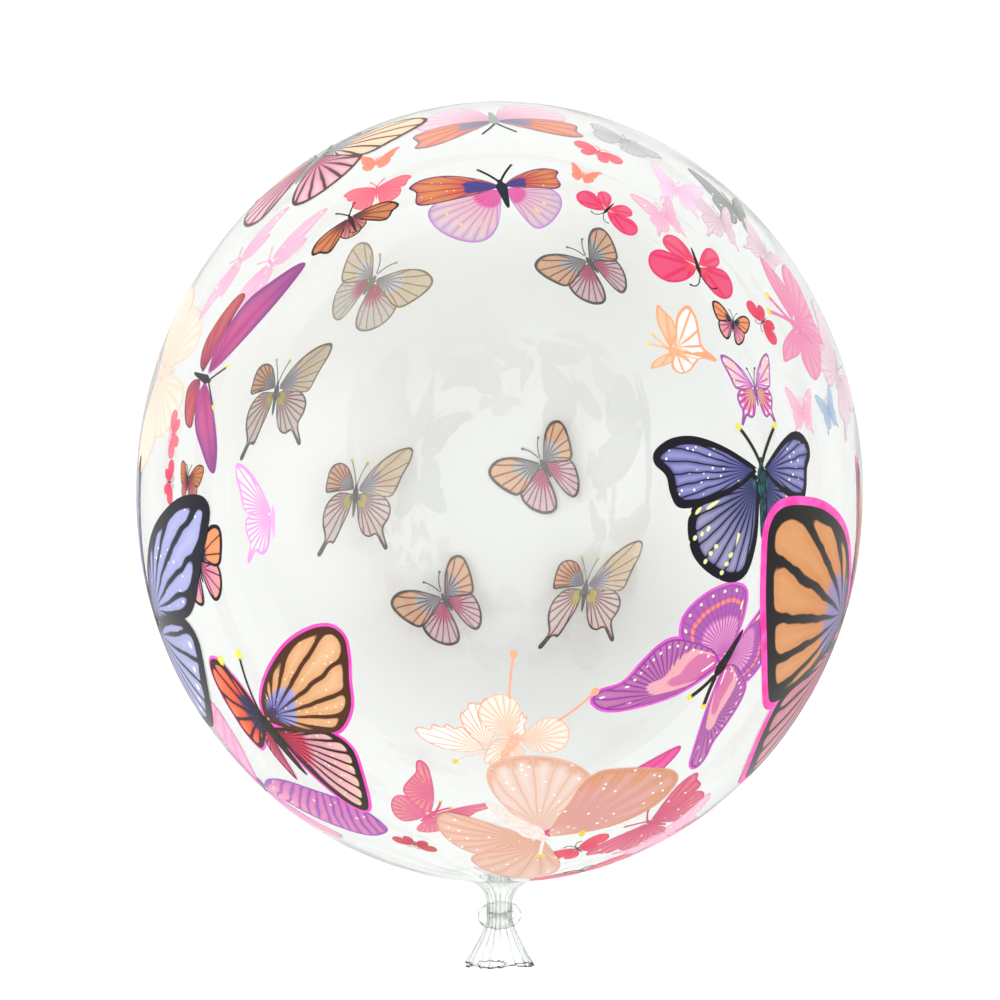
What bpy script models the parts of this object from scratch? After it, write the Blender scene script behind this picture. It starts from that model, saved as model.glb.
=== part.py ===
"""A clear bubble balloon, blown up, knotted in its own neck and lying on its side.

Metres, +Z up. The long axis runs along Y, with the crown towards +Y and the knotted neck
towards -Y. The origin is the middle of the small flat where the film presses on the surface
that the balloon lies on. The balloon is one piece of film, so it is one solid here.
"""

import math

import bmesh
import bpy
from mathutils import Matrix

# Driving sizes
OVERALL_LENGTH = 0.400  # crown to the lip of the tail
BUBBLE_WIDTH = 0.334
BUBBLE_LENGTH = 0.359
REST_DEPTH = 0.0015  # how far the lowest part of the film is pressed flat

# The throat, where the bubble narrows to its gathered neck
THROAT_FLARE_RADIUS = 0.026  # where the throat leaves the round of the bubble
STEM_RADIUS = 0.0052
STEM_START = 0.011  # from the bubble's end to where the stem is at its narrowest

# The knot, a wrap of the neck round itself
KNOT_CENTRE = 0.0165  # from the bubble's end
KNOT_RING_RADIUS = 0.0062
KNOT_TUBE_RADIUS = 0.0036
KNOT_TILT = math.radians(22)

# The tail, the neck's free end, which fans out flat in a few folds
TAIL_START = 0.0150  # from the bubble's end, inside the knot
TAIL_START_RADIUS = 0.0047
TAIL_LIP_HALF_WIDTH = 0.0150
TAIL_LIP_HALF_THICKNESS = 0.0034
TAIL_FOLDS = 7
TAIL_FOLD_DEPTH = 0.14  # share of the half size at the lip
TAIL_SPREAD_POWER = 1.3  # over 1, the tail spreads later than a straight cone would

# How finely the round shapes are divided
TURN_STEPS = 72
QUARTER_STEPS = 15  # from the crown to the widest place, and from there to the throat
THROAT_STEPS = 7
KNOT_STEPS = 28
KNOT_TUBE_STEPS = 12
TAIL_SIDES = 42
TAIL_RINGS = 8
MERGE_DISTANCE = 0.00001

HALF_WIDTH = BUBBLE_WIDTH / 2
HALF_LENGTH = BUBBLE_LENGTH / 2
AXIS_HEIGHT = HALF_WIDTH - REST_DEPTH
TAIL_LENGTH = OVERALL_LENGTH - BUBBLE_LENGTH - TAIL_START


def clear_scene():
    """Removes whatever the file holds at the start."""
    for obj in list(bpy.data.objects):
        bpy.data.objects.remove(obj)


def new_collection(name):
    """A collection in the scene."""
    collection = bpy.data.collections.new(name)
    bpy.context.scene.collection.children.link(collection)
    return collection


def clear_film():
    """Thin, glossy, clear plastic film."""
    material = bpy.data.materials.new("clear_film")
    material.use_nodes = True
    shader = material.node_tree.nodes["Principled BSDF"]
    shader.inputs["Base Color"].default_value = (0.90, 0.93, 0.91, 1.0)
    shader.inputs["Roughness"].default_value = 0.05
    shader.inputs["Metallic"].default_value = 0.0
    shader.inputs["Alpha"].default_value = 0.3
    return material


def smooth_step(t):
    """0 to 1 with level ends."""
    return t * t * (3 - 2 * t)


def mix(a, b, t):
    """From a at t 0 to b at t 1."""
    return a + (b - a) * t


def bubble_profile():
    """(radius, height) from the crown down to the end of the stem, with the crown at +Z.

    The bubble is half an ellipse. The throat leaves it at THROAT_FLARE_RADIUS and falls
    along a smooth curve to the stem, which ends inside the knot.
    """
    quarter = math.pi / 2
    flare_angle = math.acos(THROAT_FLARE_RADIUS / HALF_WIDTH)
    angles = [quarter * step / QUARTER_STEPS for step in range(QUARTER_STEPS)]
    angles += [quarter + flare_angle * step / QUARTER_STEPS for step in range(QUARTER_STEPS + 1)]
    profile = [(HALF_WIDTH * math.sin(a), HALF_LENGTH * math.cos(a)) for a in angles]
    flare_height = profile[-1][1]
    stem_height = -HALF_LENGTH - STEM_START
    for step in range(1, THROAT_STEPS + 1):
        angle = quarter * step / THROAT_STEPS
        radius = mix(THROAT_FLARE_RADIUS, STEM_RADIUS, math.sin(angle))
        height = mix(flare_height, stem_height, 1 - math.cos(angle))
        profile.append((radius, height))
    stem_end = -HALF_LENGTH - KNOT_CENTRE
    profile.append((STEM_RADIUS, stem_end))
    profile.append((0.0, stem_end))
    return profile


def bubble(collection):
    """The bubble, throat and stem, turned about the long axis and laid on its side."""
    mesh = bpy.data.meshes.new("balloon")
    points = [(radius, 0.0, height) for radius, height in bubble_profile()]
    mesh.from_pydata(points, [(i, i + 1) for i in range(len(points) - 1)], [])
    obj = bpy.data.objects.new("balloon", mesh)
    collection.objects.link(obj)
    turn = obj.modifiers.new("turn", "SCREW")
    turn.steps = TURN_STEPS
    turn.render_steps = TURN_STEPS
    turn.use_smooth_shade = True
    turn.use_merge_vertices = True
    turn.merge_threshold = MERGE_DISTANCE
    obj.rotation_euler = (-math.pi / 2, 0.0, 0.0)
    obj.location = (0.0, 0.0, AXIS_HEIGHT)
    return obj


def knot(collection):
    """The wrap of the knot, a ring that leans a little, round the stem."""
    bpy.ops.mesh.primitive_torus_add(
        major_segments=KNOT_STEPS,
        minor_segments=KNOT_TUBE_STEPS,
        major_radius=KNOT_RING_RADIUS,
        minor_radius=KNOT_TUBE_RADIUS,
        location=(0.0, -HALF_LENGTH - KNOT_CENTRE, AXIS_HEIGHT),
        rotation=(math.pi / 2 - KNOT_TILT, 0.0, 0.0),
    )
    return take(bpy.context.object, "knot_wrap", collection)


def tail(collection):
    """The free end below the knot: a cone whose sections flatten and fold towards the lip."""
    shape = bmesh.new()
    bmesh.ops.create_cone(
        shape,
        cap_ends=True,
        segments=TAIL_SIDES,
        radius1=1.0,
        radius2=1.0,
        depth=1.0,
        matrix=Matrix.Translation((0.0, 0.0, 0.5)),
    )
    sides = [e for e in shape.edges if abs(e.verts[0].co.z - e.verts[1].co.z) > 0.5]
    bmesh.ops.subdivide_edges(shape, edges=sides, cuts=TAIL_RINGS, use_grid_fill=True)
    for vert in shape.verts:
        t = vert.co.z
        angle = math.atan2(vert.co.y, vert.co.x)
        fold = 1 + TAIL_FOLD_DEPTH * smooth_step(t) * math.cos(TAIL_FOLDS * angle)
        spread = mix(TAIL_START_RADIUS, TAIL_LIP_HALF_WIDTH, t**TAIL_SPREAD_POWER)
        thick = mix(TAIL_START_RADIUS, TAIL_LIP_HALF_THICKNESS, smooth_step(t))
        vert.co.x = spread * fold * math.cos(angle)
        vert.co.y = thick * fold * math.sin(angle)
        vert.co.z = t * TAIL_LENGTH
    bmesh.ops.recalc_face_normals(shape, faces=shape.faces)
    mesh = bpy.data.meshes.new("tail")
    shape.to_mesh(mesh)
    shape.free()
    obj = bpy.data.objects.new("tail", mesh)
    collection.objects.link(obj)
    obj.rotation_euler = (math.pi / 2, 0.0, 0.0)
    obj.location = (0.0, -HALF_LENGTH - TAIL_START, AXIS_HEIGHT)
    return as_helper(obj)


def ground_cutter(collection):
    """A block whose top is the surface that the balloon lies on."""
    side = BUBBLE_LENGTH
    bpy.ops.mesh.primitive_cube_add(size=side, location=(0.0, 0.0, -side / 2))
    return take(bpy.context.object, "ground_cutter", collection)


def take(obj, name, collection):
    """Names an object that an operator made, moves it to a collection and marks it a helper."""
    obj.name = name
    for owner in list(obj.users_collection):
        owner.objects.unlink(obj)
    collection.objects.link(obj)
    return as_helper(obj)


def as_helper(obj):
    """Leaves an object out of renders and of the build: it only shapes another."""
    obj.hide_render = True
    obj.display_type = "WIRE"
    return obj


def combine(obj, other, operation):
    """Joins another mesh to an object, or cuts it away."""
    step = obj.modifiers.new(other.name, "BOOLEAN")
    step.operation = operation
    step.solver = "EXACT"
    step.object = other


def main():
    """Builds the balloon and its helpers."""
    clear_scene()
    shown = new_collection("bubble_balloon")
    helpers = new_collection("helpers")
    balloon = bubble(shown)
    balloon.data.materials.append(clear_film())
    combine(balloon, tail(helpers), "UNION")
    combine(balloon, knot(helpers), "UNION")
    combine(balloon, ground_cutter(helpers), "DIFFERENCE")


main()
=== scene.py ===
"""The looks of a clear bubble balloon with a butterfly print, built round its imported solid.

Metres, +Z up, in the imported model's frame: the balloon lies on its back, its crown towards +Y and
its knotted neck towards -Y, and the printed side that the picture shows faces up. The camera looks
straight down on it. Every butterfly is a thin slab of ink that lies on the outside of the film, so
those on the underside show through both walls.
"""

import logging
import math
from collections.abc import Iterable
from dataclasses import dataclass, replace
from enum import Enum
from functools import cache

import bmesh
import bpy
import numpy as np
from mathutils import Matrix, Vector

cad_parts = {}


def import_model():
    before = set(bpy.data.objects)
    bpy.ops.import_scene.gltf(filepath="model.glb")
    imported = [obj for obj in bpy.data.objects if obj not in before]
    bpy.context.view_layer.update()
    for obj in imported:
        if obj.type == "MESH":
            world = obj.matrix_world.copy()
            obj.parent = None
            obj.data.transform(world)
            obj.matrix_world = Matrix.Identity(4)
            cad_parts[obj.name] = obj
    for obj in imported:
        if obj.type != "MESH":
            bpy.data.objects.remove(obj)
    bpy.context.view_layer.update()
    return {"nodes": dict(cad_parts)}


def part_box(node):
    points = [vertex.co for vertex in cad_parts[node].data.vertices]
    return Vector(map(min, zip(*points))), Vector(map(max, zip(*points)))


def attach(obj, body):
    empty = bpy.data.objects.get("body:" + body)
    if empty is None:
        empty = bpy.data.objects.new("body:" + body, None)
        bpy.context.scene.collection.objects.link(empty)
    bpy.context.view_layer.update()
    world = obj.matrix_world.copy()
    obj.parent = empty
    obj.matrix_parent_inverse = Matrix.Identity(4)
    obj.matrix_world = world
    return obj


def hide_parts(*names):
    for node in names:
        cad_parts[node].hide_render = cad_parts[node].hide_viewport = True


BODY = "root"
MM = 0.001
PICTURE_SIDE = 1000  # pixels

# How the print is drawn and laid
WING_FIELDS = ("reach", "sweep", "turn_length", "edge")
ROOT_SHARE = 0.04  # a wing starts this share of its reach out from its root, under the body
OUTLINE_STEP = 1.6 * MM
REACH_STEP = 3.4 * MM
HALO_INK = 0.03 * MM
HIND_INK = 0.05 * MM
FORE_INK = 0.08 * MM
BODY_INK = 0.11 * MM
FIRST_LAYER = 0.08 * MM  # from the film to the middle of the first layer of ink
LAYER_STEP = 0.13 * MM
WING_CELLS = (36, 8)  # the fewest round the outline, and from the root to it
FEELER_CELLS = (2, 30)  # across and along
BODY_CELLS = (4, 26)
HALF_SPAN = 100  # a butterfly is drawn in hundredths of its half-span
SPAN_STEPS = 16  # of the curve from one point of a wing's outline to the next
LENGTH_STEPS = 60  # for measuring an outline
RIM_STEPS = 240  # for drawing it
HARD_EDGE = math.radians(50)

# How the ink looks
INK_ROUGHNESS = 0.35
INK_GLOSS = 0.14  # next to 0.5 for plain varnish
LINE_RELIEF = 0.03 * MM
WAVER_SIZE = 11 * MM  # from one waver of a hand-drawn line to the next
VEIN_DRIFT = 0.0022  # how far a vein wavers, in turns about the hub
GROUND_WAVER = 0.02
HUB_MARGIN = 0.35  # the margin's width at the hub, as a share of its full one
FULL_MARGIN_TURN = 420.0  # the length of a turn about the hub where it is full
STREAKS_ACROSS = 130.0  # in a full turn about the hub
STREAKS_ALONG = 2.5  # from the root to the outline
BAND_SOFTNESS = 0.01
FLECK_SOFTNESS = 0.05
DOT_SOFTNESS = 0.3
OUT_OF_REACH = 9.0  # puts a place beyond any vein or dot

# How a line of sight that misses the bubble is brought in to its outline
INWARD_TRIES = 60
INWARD_STEP = 0.998

Tree = bpy.types.NodeTree
Node = bpy.types.Node
Socket = bpy.types.NodeSocket

log = logging.getLogger("balloon")


def colour(code: str) -> tuple[float, float, float, float]:
    """Turns an sRGB hex value into a linear colour.

    Args:
        code: six hex digits after a #.

    Returns:
        Red, green, blue and an alpha of 1.
    """
    shares = [int(code[i : i + 2], 16) / 255 for i in (1, 3, 5)]
    linear = [s / 12.92 if s <= 0.04045 else ((s + 0.055) / 1.055) ** 2.4 for s in shares]
    return (*linear, 1.0)


def smooth_step(share: float) -> float:
    """Returns 0 to 1 with level ends."""
    share = min(1.0, max(0.0, share))
    return share * share * (3 - 2 * share)


def mix(first: float, second: float, share: float) -> float:
    """Returns the first value at share 0 and the second at share 1."""
    return first + (second - first) * share


def node(tree: Tree, kind: str, inputs: dict | None = None, **settings: object) -> Node:
    """Adds a shader node with its settings, values and links.

    Args:
        tree: the tree that it goes in.
        kind: the node's class, without its ShaderNode.
        inputs: input name or number to a value, a socket, or a node whose first output is linked.
        **settings: the node's own properties.

    Returns:
        The new node.
    """
    made = tree.nodes.new("ShaderNode" + kind)
    for name, value in settings.items():
        setattr(made, name, value)
    for key, value in (inputs or {}).items():
        if isinstance(value, Node):
            value = value.outputs[0]
        if isinstance(value, Socket):
            tree.links.new(value, made.inputs[key])
        else:
            made.inputs[key].default_value = value
    return made


def cover(tree: Tree, share: Node, paint: Socket | tuple[float, ...], code: str) -> Socket:
    """Lays a colour over paint.

    Args:
        tree: the finish's node tree.
        share: how much of the colour shows, 0 to 1.
        paint: what is under it.
        code: the colour, in sRGB hex.

    Returns:
        The new paint.
    """
    return node(tree, "Mix", {0: share, 6: paint, 7: colour(code)}, data_type="RGBA").outputs[2]


def new_material(name: str) -> tuple[bpy.types.Material, Tree, Node]:
    """Returns a new material, its node tree and its Principled shader."""
    material = bpy.data.materials.new(name)
    material.use_nodes = True
    return material, material.node_tree, material.node_tree.nodes["Principled BSDF"]


def dry(tree: Tree, shader: Node, paint: Socket) -> None:
    """Gives the shader its paint and dried ink's low gloss, so that black still reads as black."""
    tree.links.new(paint, shader.inputs["Base Color"])
    shader.inputs["Roughness"].default_value = INK_ROUGHNESS
    shader.inputs["Specular IOR Level"].default_value = INK_GLOSS


def new_object(
    name: str, shape: bmesh.types.BMesh, materials: Iterable[bpy.types.Material]
) -> bpy.types.Object:
    """Makes an object at the origin from a finished shape.

    Args:
        name: the piece's name.
        shape: its geometry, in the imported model's frame. It is freed.
        materials: its finishes, by material index.

    Returns:
        The object, shaded smooth but for its hard edges.
    """
    mesh = bpy.data.meshes.new(name)
    shape.to_mesh(mesh)
    shape.free()
    for material in materials:
        mesh.materials.append(material)
    mesh.shade_smooth()
    obj = bpy.data.objects.new(name, mesh)
    bpy.context.scene.collection.objects.link(obj)
    return obj


def spin_round(
    shape: bmesh.types.BMesh, verts: list, edges: list, height: float, steps: int
) -> None:
    """Turns a line into a skin round the long axis.

    Args:
        shape: what the line is part of.
        verts: the line's points.
        edges: the edges between them.
        height: of the axis.
        steps: faces in a full turn.
    """
    bmesh.ops.spin(
        shape, geom=verts + edges, cent=(0.0, 0.0, height), axis=(0.0, 1.0, 0.0), angle=2 * math.pi,
        steps=steps, use_merge=True,
    )


class Side(Enum):
    """Which of the two walls that a line of sight crosses."""

    NEAR = "the wall nearer to the camera"
    FAR = "the wall that shows through the near one"


@dataclass(frozen=True)
class StretchedFilm:
    """Thermoplastic polyurethane, blown into a bubble and stretched thin and tight.

    To the eye it is a clear skin with a faint grey-green cast, which deepens at the rim where the
    line of sight runs along the wall. It is glossy, and soft ripples show only in its reflections.
    """

    cast: str = "#FBFCFB"
    edge_cast: tuple[float, float, float] = (0.9848, 0.9861, 0.9846)
    refraction: float = 1.45
    roughness: float = 0.0
    ripple: float = 45 * MM  # from one soft ripple to the next
    ripple_depth: float = 0.25 * MM

    def make(self) -> bpy.types.Material:
        """Returns the finish."""
        material, tree, shader = new_material("stretched_polyurethane_film")
        shader.inputs["Base Color"].default_value = colour(self.cast)
        shader.inputs["Roughness"].default_value = self.roughness
        shader.inputs["IOR"].default_value = self.refraction
        shader.inputs["Transmission Weight"].default_value = 1.0
        shader.inputs["Coat Weight"].default_value = 1.0
        shader.inputs["Coat IOR"].default_value = 1.0
        shader.inputs["Coat Roughness"].default_value = self.roughness
        shader.inputs["Coat Tint"].default_value = (*self.edge_cast, 1.0)
        place = node(tree, "TexCoord").outputs["Object"]
        ripples = node(tree, "TexNoise", {"Vector": place, "Scale": 1 / self.ripple, "Detail": 1.0})
        bend = {"Height": ripples.outputs["Fac"], "Distance": self.ripple_depth, "Strength": 1.0}
        tree.links.new(node(tree, "Bump", bend).outputs["Normal"], shader.inputs["Normal"])
        return material


@dataclass
class Film:
    """The balloon's one piece of film: bubble, throat, knotted neck and free tail."""

    half_width: float
    half_length: float
    axis_height: float
    wall: float = 0.22 * MM
    flare_radius: float = 26 * MM  # where the throat leaves the round of the bubble
    stem_radius: float = 5.2 * MM
    stem_start: float = 11 * MM  # these four are measured from the bubble's end
    knot_centre: float = 16.5 * MM
    tail_start: float = 19 * MM
    tail_end: float = 39.7 * MM  # the lip's sag takes it a little further
    lip_half_width: float = 15 * MM
    lip_half_thickness: float = 3.2 * MM
    knot_radius: float = 6.2 * MM
    knot_tube: float = 3.5 * MM
    knot_tilt: float = math.radians(22)
    pleats: int = 17
    pleat_depth: float = 0.75 * MM
    pleat_reach: float = 62 * MM  # how far from the long axis the gathered pleats run out
    pleat_limit: float = 0.15  # their greatest depth, as a share of the radius
    fold_share: float = 0.35  # of the smaller wave that sharpens the folds
    tail_pleat_growth: float = 1.9  # the pleats' depth at the lip, next to the stem's
    lip_sag: float = 1.2 * MM
    profile_steps: tuple[int, int, int, int] = (92, 16, 5, 14)  # of bubble, throat, stem and tail
    turn_steps: int = 255
    knot_steps: tuple[int, int] = (22, 84)  # round the tube and round the ring
    rest_softness: float = 0.5 * MM  # how softly the underside bends into its flat

    def on_bubble(self, direction: Vector) -> Vector:
        """Returns the point of the bubble's outside for a direction on a unit ball."""
        height = self.axis_height + self.half_width * direction.z
        return Vector((self.half_width * direction.x, self.half_length * direction.y, height))

    def to_ball(self, offset: Vector) -> Vector:
        """Returns an offset as it is when the bubble is squeezed to a unit ball."""
        wide, long = self.half_width, self.half_length
        return Vector((offset.x / wide, offset.y / long, offset.z / wide))

    def outward(self, direction: Vector) -> Vector:
        """Returns the bubble's outward normal for a direction on a unit ball."""
        return self.to_ball(direction).normalized()

    def settle(self, point: Vector) -> Vector:
        """Presses a point that would lie below the floor flat on it, with a soft bend."""
        soft, height = self.rest_softness, point.z
        if height < 4 * soft:
            height = (height + math.sqrt(height * height + soft * soft)) / 2
        return Vector((point.x, point.y, height))

    def profile(self) -> list[tuple[float, float]]:
        """Returns (radius, place on the long axis) from the crown to the tail's lip."""
        flare = math.pi - math.asin(self.flare_radius / self.half_width)
        bubble_steps, throat_steps, stem_steps, tail_steps = self.profile_steps
        points = []
        for step in range(bubble_steps + 1):
            angle = flare * step / bubble_steps
            points.append((self.half_width * math.sin(angle), self.half_length * math.cos(angle)))
        flare_place = points[-1][1]
        stem_place = -self.half_length - self.stem_start
        for step in range(1, throat_steps + 1):
            angle = math.pi / 2 * step / throat_steps
            radius = mix(self.flare_radius, self.stem_radius, math.sin(angle))
            points.append((radius, mix(flare_place, stem_place, 1 - math.cos(angle))))
        tail_place = -self.half_length - self.tail_start
        for step in range(1, stem_steps + 1):
            points.append((self.stem_radius, mix(stem_place, tail_place, step / stem_steps)))
        lip_place = -self.half_length - self.tail_end
        for step in range(1, tail_steps + 1):
            points.append((self.stem_radius, mix(tail_place, lip_place, step / tail_steps)))
        return points

    def pleat(self, angle: float) -> float:
        """Returns how far out the gathered film stands at an angle about the axis, -1 to 1."""
        # two slow waves make the pleats uneven, and a smaller wave between them sharpens their folds
        uneven = 0.7 * math.sin(3 * angle + 0.8) + 0.4 * math.sin(5 * angle + 2.1)
        wave = math.cos(self.pleats * angle + uneven)
        between = math.cos(2 * self.pleats * angle + 3 * uneven)
        return (wave + self.fold_share * between) / (1 + self.fold_share)

    def gather(self, point: Vector) -> Vector:
        """Gives a point of the plain turned skin its pleats, and the tail its folded fan."""
        across = Vector((point.x, 0.0, point.z - self.axis_height))
        radius = across.length
        if point.y > 0 or radius < 1e-6 or radius > self.pleat_reach:
            return point
        angle = math.atan2(across.z, across.x)
        gathered = smooth_step((self.pleat_reach - radius) / (self.pleat_reach - self.flare_radius))
        depth = min(self.pleat_depth, self.pleat_limit * radius) * gathered**1.5
        wide = thick = radius
        fan = (-self.half_length - self.tail_start - point.y) / (self.tail_end - self.tail_start)
        if fan > 0:
            wide = mix(self.stem_radius, self.lip_half_width, fan**1.15)
            thick = mix(self.stem_radius, self.lip_half_thickness, smooth_step(fan))
            depth *= mix(1.0, self.tail_pleat_growth, fan)
        out = depth * self.pleat(angle)
        sag = self.lip_sag * max(0.0, fan) ** 2 * math.sin(2.5 * angle)
        height = self.axis_height + (thick + out) * math.sin(angle)
        return Vector(((wide + out) * math.cos(angle), point.y + sag, height))

    def skin(self) -> bmesh.types.BMesh:
        """Returns the skin from crown to lip as a sheet with no thickness."""
        shape = bmesh.new()
        places = [Vector((r, y, self.axis_height)) for r, y in self.profile()]
        verts = [shape.verts.new(place) for place in places]
        edges = [shape.edges.new(pair) for pair in zip(verts, verts[1:])]
        spin_round(shape, verts, edges, self.axis_height, self.turn_steps)
        bmesh.ops.remove_doubles(shape, verts=shape.verts, dist=0.01 * MM)
        for vert in shape.verts:
            vert.co = self.settle(self.gather(vert.co))
        bmesh.ops.recalc_face_normals(shape, faces=shape.faces)
        return shape

    def add_knot(self, shape: bmesh.types.BMesh) -> None:
        """Adds the wrap of the overhand knot: the neck's own film, rolled and twisted."""
        tube_steps, ring_steps = self.knot_steps
        aside = Matrix.Translation((self.knot_radius, 0.0, 0.0))
        made = bmesh.ops.create_circle(
            shape, segments=tube_steps, radius=self.knot_tube, matrix=aside
        )
        tube = made["verts"]
        edges = list({edge for vert in tube for edge in vert.link_edges})
        before = set(shape.verts) - set(tube)
        spin_round(shape, tube, edges, 0.0, ring_steps)
        ring = [vert for vert in shape.verts if vert not in before]
        centre = Vector((0.0, -self.half_length - self.knot_centre, self.axis_height))
        tilt = Matrix.Rotation(self.knot_tilt, 3, "X")
        for vert in ring:
            turn = math.atan2(vert.co.z, vert.co.x)
            middle = Vector((math.cos(turn), 0.0, math.sin(turn))) * self.knot_radius
            out = vert.co - middle
            round_tube = math.atan2(out.y, out.length - abs(out.y)) if out.length else 0.0
            # the rolled film's twisted ridges, and a wrap that isn't quite round
            ridge = 1 + 0.09 * math.cos(6 * round_tube + 5 * turn) + 0.05 * math.cos(11 * turn)
            bulge = 1 + 0.10 * math.cos(2 * turn + 0.7)
            vert.co = centre + tilt @ (middle * bulge + out * ridge)
        faces = {face for vert in ring for face in vert.link_faces}
        bmesh.ops.recalc_face_normals(shape, faces=list(faces))

    def build(self) -> bpy.types.Object:
        """Returns the film as a piece with two faces and a true wall between them."""
        shape = self.skin()
        self.add_knot(shape)
        film = new_object("bubble_film", shape, [StretchedFilm().make()])
        wall = film.modifiers.new("wall", "SOLIDIFY")
        wall.thickness = self.wall
        wall.offset = -1.0
        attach(film, BODY)
        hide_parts("balloon")
        return film


@dataclass(frozen=True)
class SoftZone:
    """A part of the dome with a soft edge, which the film mirrors as a bright or dim cloud."""

    toward: tuple[float, float, float]
    reach: float  # how far from its middle it fades out, in degrees
    tone: float

    def add(self, tree: Tree, direction: Socket, light: Socket) -> Socket:
        """Adds the zone to the dome's light.

        Args:
            tree: the dome's node tree.
            direction: where a ray leaves to.
            light: the dome's light without this zone.

        Returns:
            The dome's light with it.
        """
        middle = Vector(self.toward).normalized()
        facing = node(tree, "VectorMath", {0: direction, 1: middle}, operation="DOT_PRODUCT")
        limits = {1: math.cos(math.radians(self.reach)), 2: 1.0}
        share = node(
            tree, "MapRange", {0: facing.outputs["Value"]} | limits, interpolation_type="SMOOTHSTEP"
        )
        tone = (self.tone, self.tone, self.tone, 1.0)
        return node(tree, "Mix", {0: share, 6: light, 7: tone}, data_type="RGBA").outputs[2]


# The dome's plain light, by height and colour, and what the film mirrors in it
DOME_HORIZON = (0.0, (1.0, 1.0, 0.99, 1.0))
DOME_TOP = (1.0, (0.93, 0.94, 0.93, 1.0))
DOME_STRENGTH = 1.11
SOFT_ZONES = (
    SoftZone((0.05, -0.18, 1.0), 46, 1.8),
    SoftZone((-0.45, 0.60, 0.80), 30, 0.85),
    SoftZone((0.28, -0.88, 0.45), 34, 0.45),
    SoftZone((0.62, 0.74, 0.10), 34, 0.70),
    SoftZone((0.62, -0.74, 0.20), 34, 0.45),
    SoftZone((-0.80, 0.02, 0.62), 36, 2.0),
    SoftZone((0.55, 0.08, 0.82), 18, 1.7),
)


@dataclass
class Studio:
    """Camera, floor and light."""

    film: Film
    middle_seen_at: tuple[float, float] = (499.5, 492.0)  # the bubble's middle, in the picture
    half_width_seen: float = 363.5  # of the bubble's outline, in pixels
    distance: float = 1.30  # from the bubble's middle to the camera
    sensor: float = 36.0  # in mm, as the lens is
    floor_radius: float = 14.0
    floor_drop: float = 0.4 * MM  # of the floor below the film

    @property
    def focal_pixels(self) -> float:
        """The lens's focal length in pixels, from how wide the bubble's outline is seen."""
        radius = self.film.half_width
        return self.half_width_seen * math.sqrt(self.distance**2 - radius**2) / radius

    @property
    def eye(self) -> Vector:
        """Where the camera stands."""
        return Vector((0.0, 0.0, self.film.axis_height + self.distance))

    def film_direction(self, pixel: tuple[float, float], side: Side) -> Vector:
        """Finds where the line of sight through a pixel meets the bubble.

        Args:
            pixel: a place in the picture. One outside the outline is moved onto it.
            side: which of the two walls.

        Returns:
            The place as a direction on the unit ball that the bubble is stretched from.
        """
        focal = self.focal_pixels
        across = (pixel[0] - self.middle_seen_at[0]) / focal
        up = (self.middle_seen_at[1] - pixel[1]) / focal
        start = self.film.to_ball(self.eye - Vector((0.0, 0.0, self.film.axis_height)))
        for _ in range(INWARD_TRIES):
            ray = self.film.to_ball(Vector((across, up, -1.0)))
            a, b, c = ray.dot(ray), 2 * ray.dot(start), start.dot(start) - 1
            inside = b * b - 4 * a * c
            if inside > 0:
                break
            across, up = across * INWARD_STEP, up * INWARD_STEP
        root = math.sqrt(max(0.0, inside))
        along = (-b - root) / (2 * a) if side is Side.NEAR else (-b + root) / (2 * a)
        return (start + ray * along).normalized()

    def place_camera(self) -> None:
        """Puts the camera over the balloon, where the picture was taken from."""
        data = bpy.data.cameras.new("camera")
        camera = bpy.data.objects.new("camera", data)
        bpy.context.scene.collection.objects.link(camera)
        camera.location = self.eye
        data.sensor_width = self.sensor
        data.lens = self.sensor * self.focal_pixels / PICTURE_SIDE
        data.shift_x = (PICTURE_SIDE / 2 - self.middle_seen_at[0]) / PICTURE_SIDE
        data.shift_y = (self.middle_seen_at[1] - PICTURE_SIDE / 2) / PICTURE_SIDE
        data.clip_start = 0.05
        bpy.context.scene.camera = camera

    def lay_floor(self) -> None:
        """Lays a wide pale floor just under the film and its lowest ink."""
        shape = bmesh.new()
        bmesh.ops.create_circle(shape, cap_ends=True, segments=96, radius=self.floor_radius)
        bmesh.ops.translate(shape, verts=shape.verts, vec=(0.0, 0.0, -self.floor_drop))
        material, tree, shader = new_material("matt_white_paper")
        place = node(tree, "TexCoord").outputs["Object"]
        grain = node(tree, "TexNoise", {"Vector": place, "Scale": 900.0, "Detail": 3.0})
        tree.links.new(cover(tree, grain, colour("#F6F6F6"), "#FAFAFB"), shader.inputs["Base Color"])
        shader.inputs["Roughness"].default_value = 0.9
        shader.inputs["Specular IOR Level"].default_value = 0.1
        new_object("floor", shape, [material])

    def light(self) -> None:
        """Lights the scene with a wide pale dome that has soft bright and dim zones."""
        world = bpy.data.worlds.new("studio")
        bpy.context.scene.world = world
        world.use_nodes = True
        tree = world.node_tree
        toward = node(tree, "TexCoord").outputs["Generated"]
        height = node(tree, "SeparateXYZ", {0: toward}).outputs["Z"]
        ramp = node(tree, "ValToRGB", {0: height})
        low, high = ramp.color_ramp.elements
        low.position, low.color = DOME_HORIZON
        high.position, high.color = DOME_TOP
        light = ramp.outputs["Color"]
        for zone in SOFT_ZONES:
            light = zone.add(tree, toward, light)
        back = tree.nodes["Background"]
        tree.links.new(light, back.inputs["Color"])
        back.inputs["Strength"].default_value = DOME_STRENGTH

    def set_camera_response(self) -> None:
        """Lets white paper read as white, and light cross many walls of film."""
        scene = bpy.context.scene
        scene.view_settings.view_transform = "Standard"
        scene.cycles.max_bounces = 16
        scene.cycles.transmission_bounces = 16
        scene.cycles.glossy_bounces = 6
        scene.cycles.blur_glossy = 0.0


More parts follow.
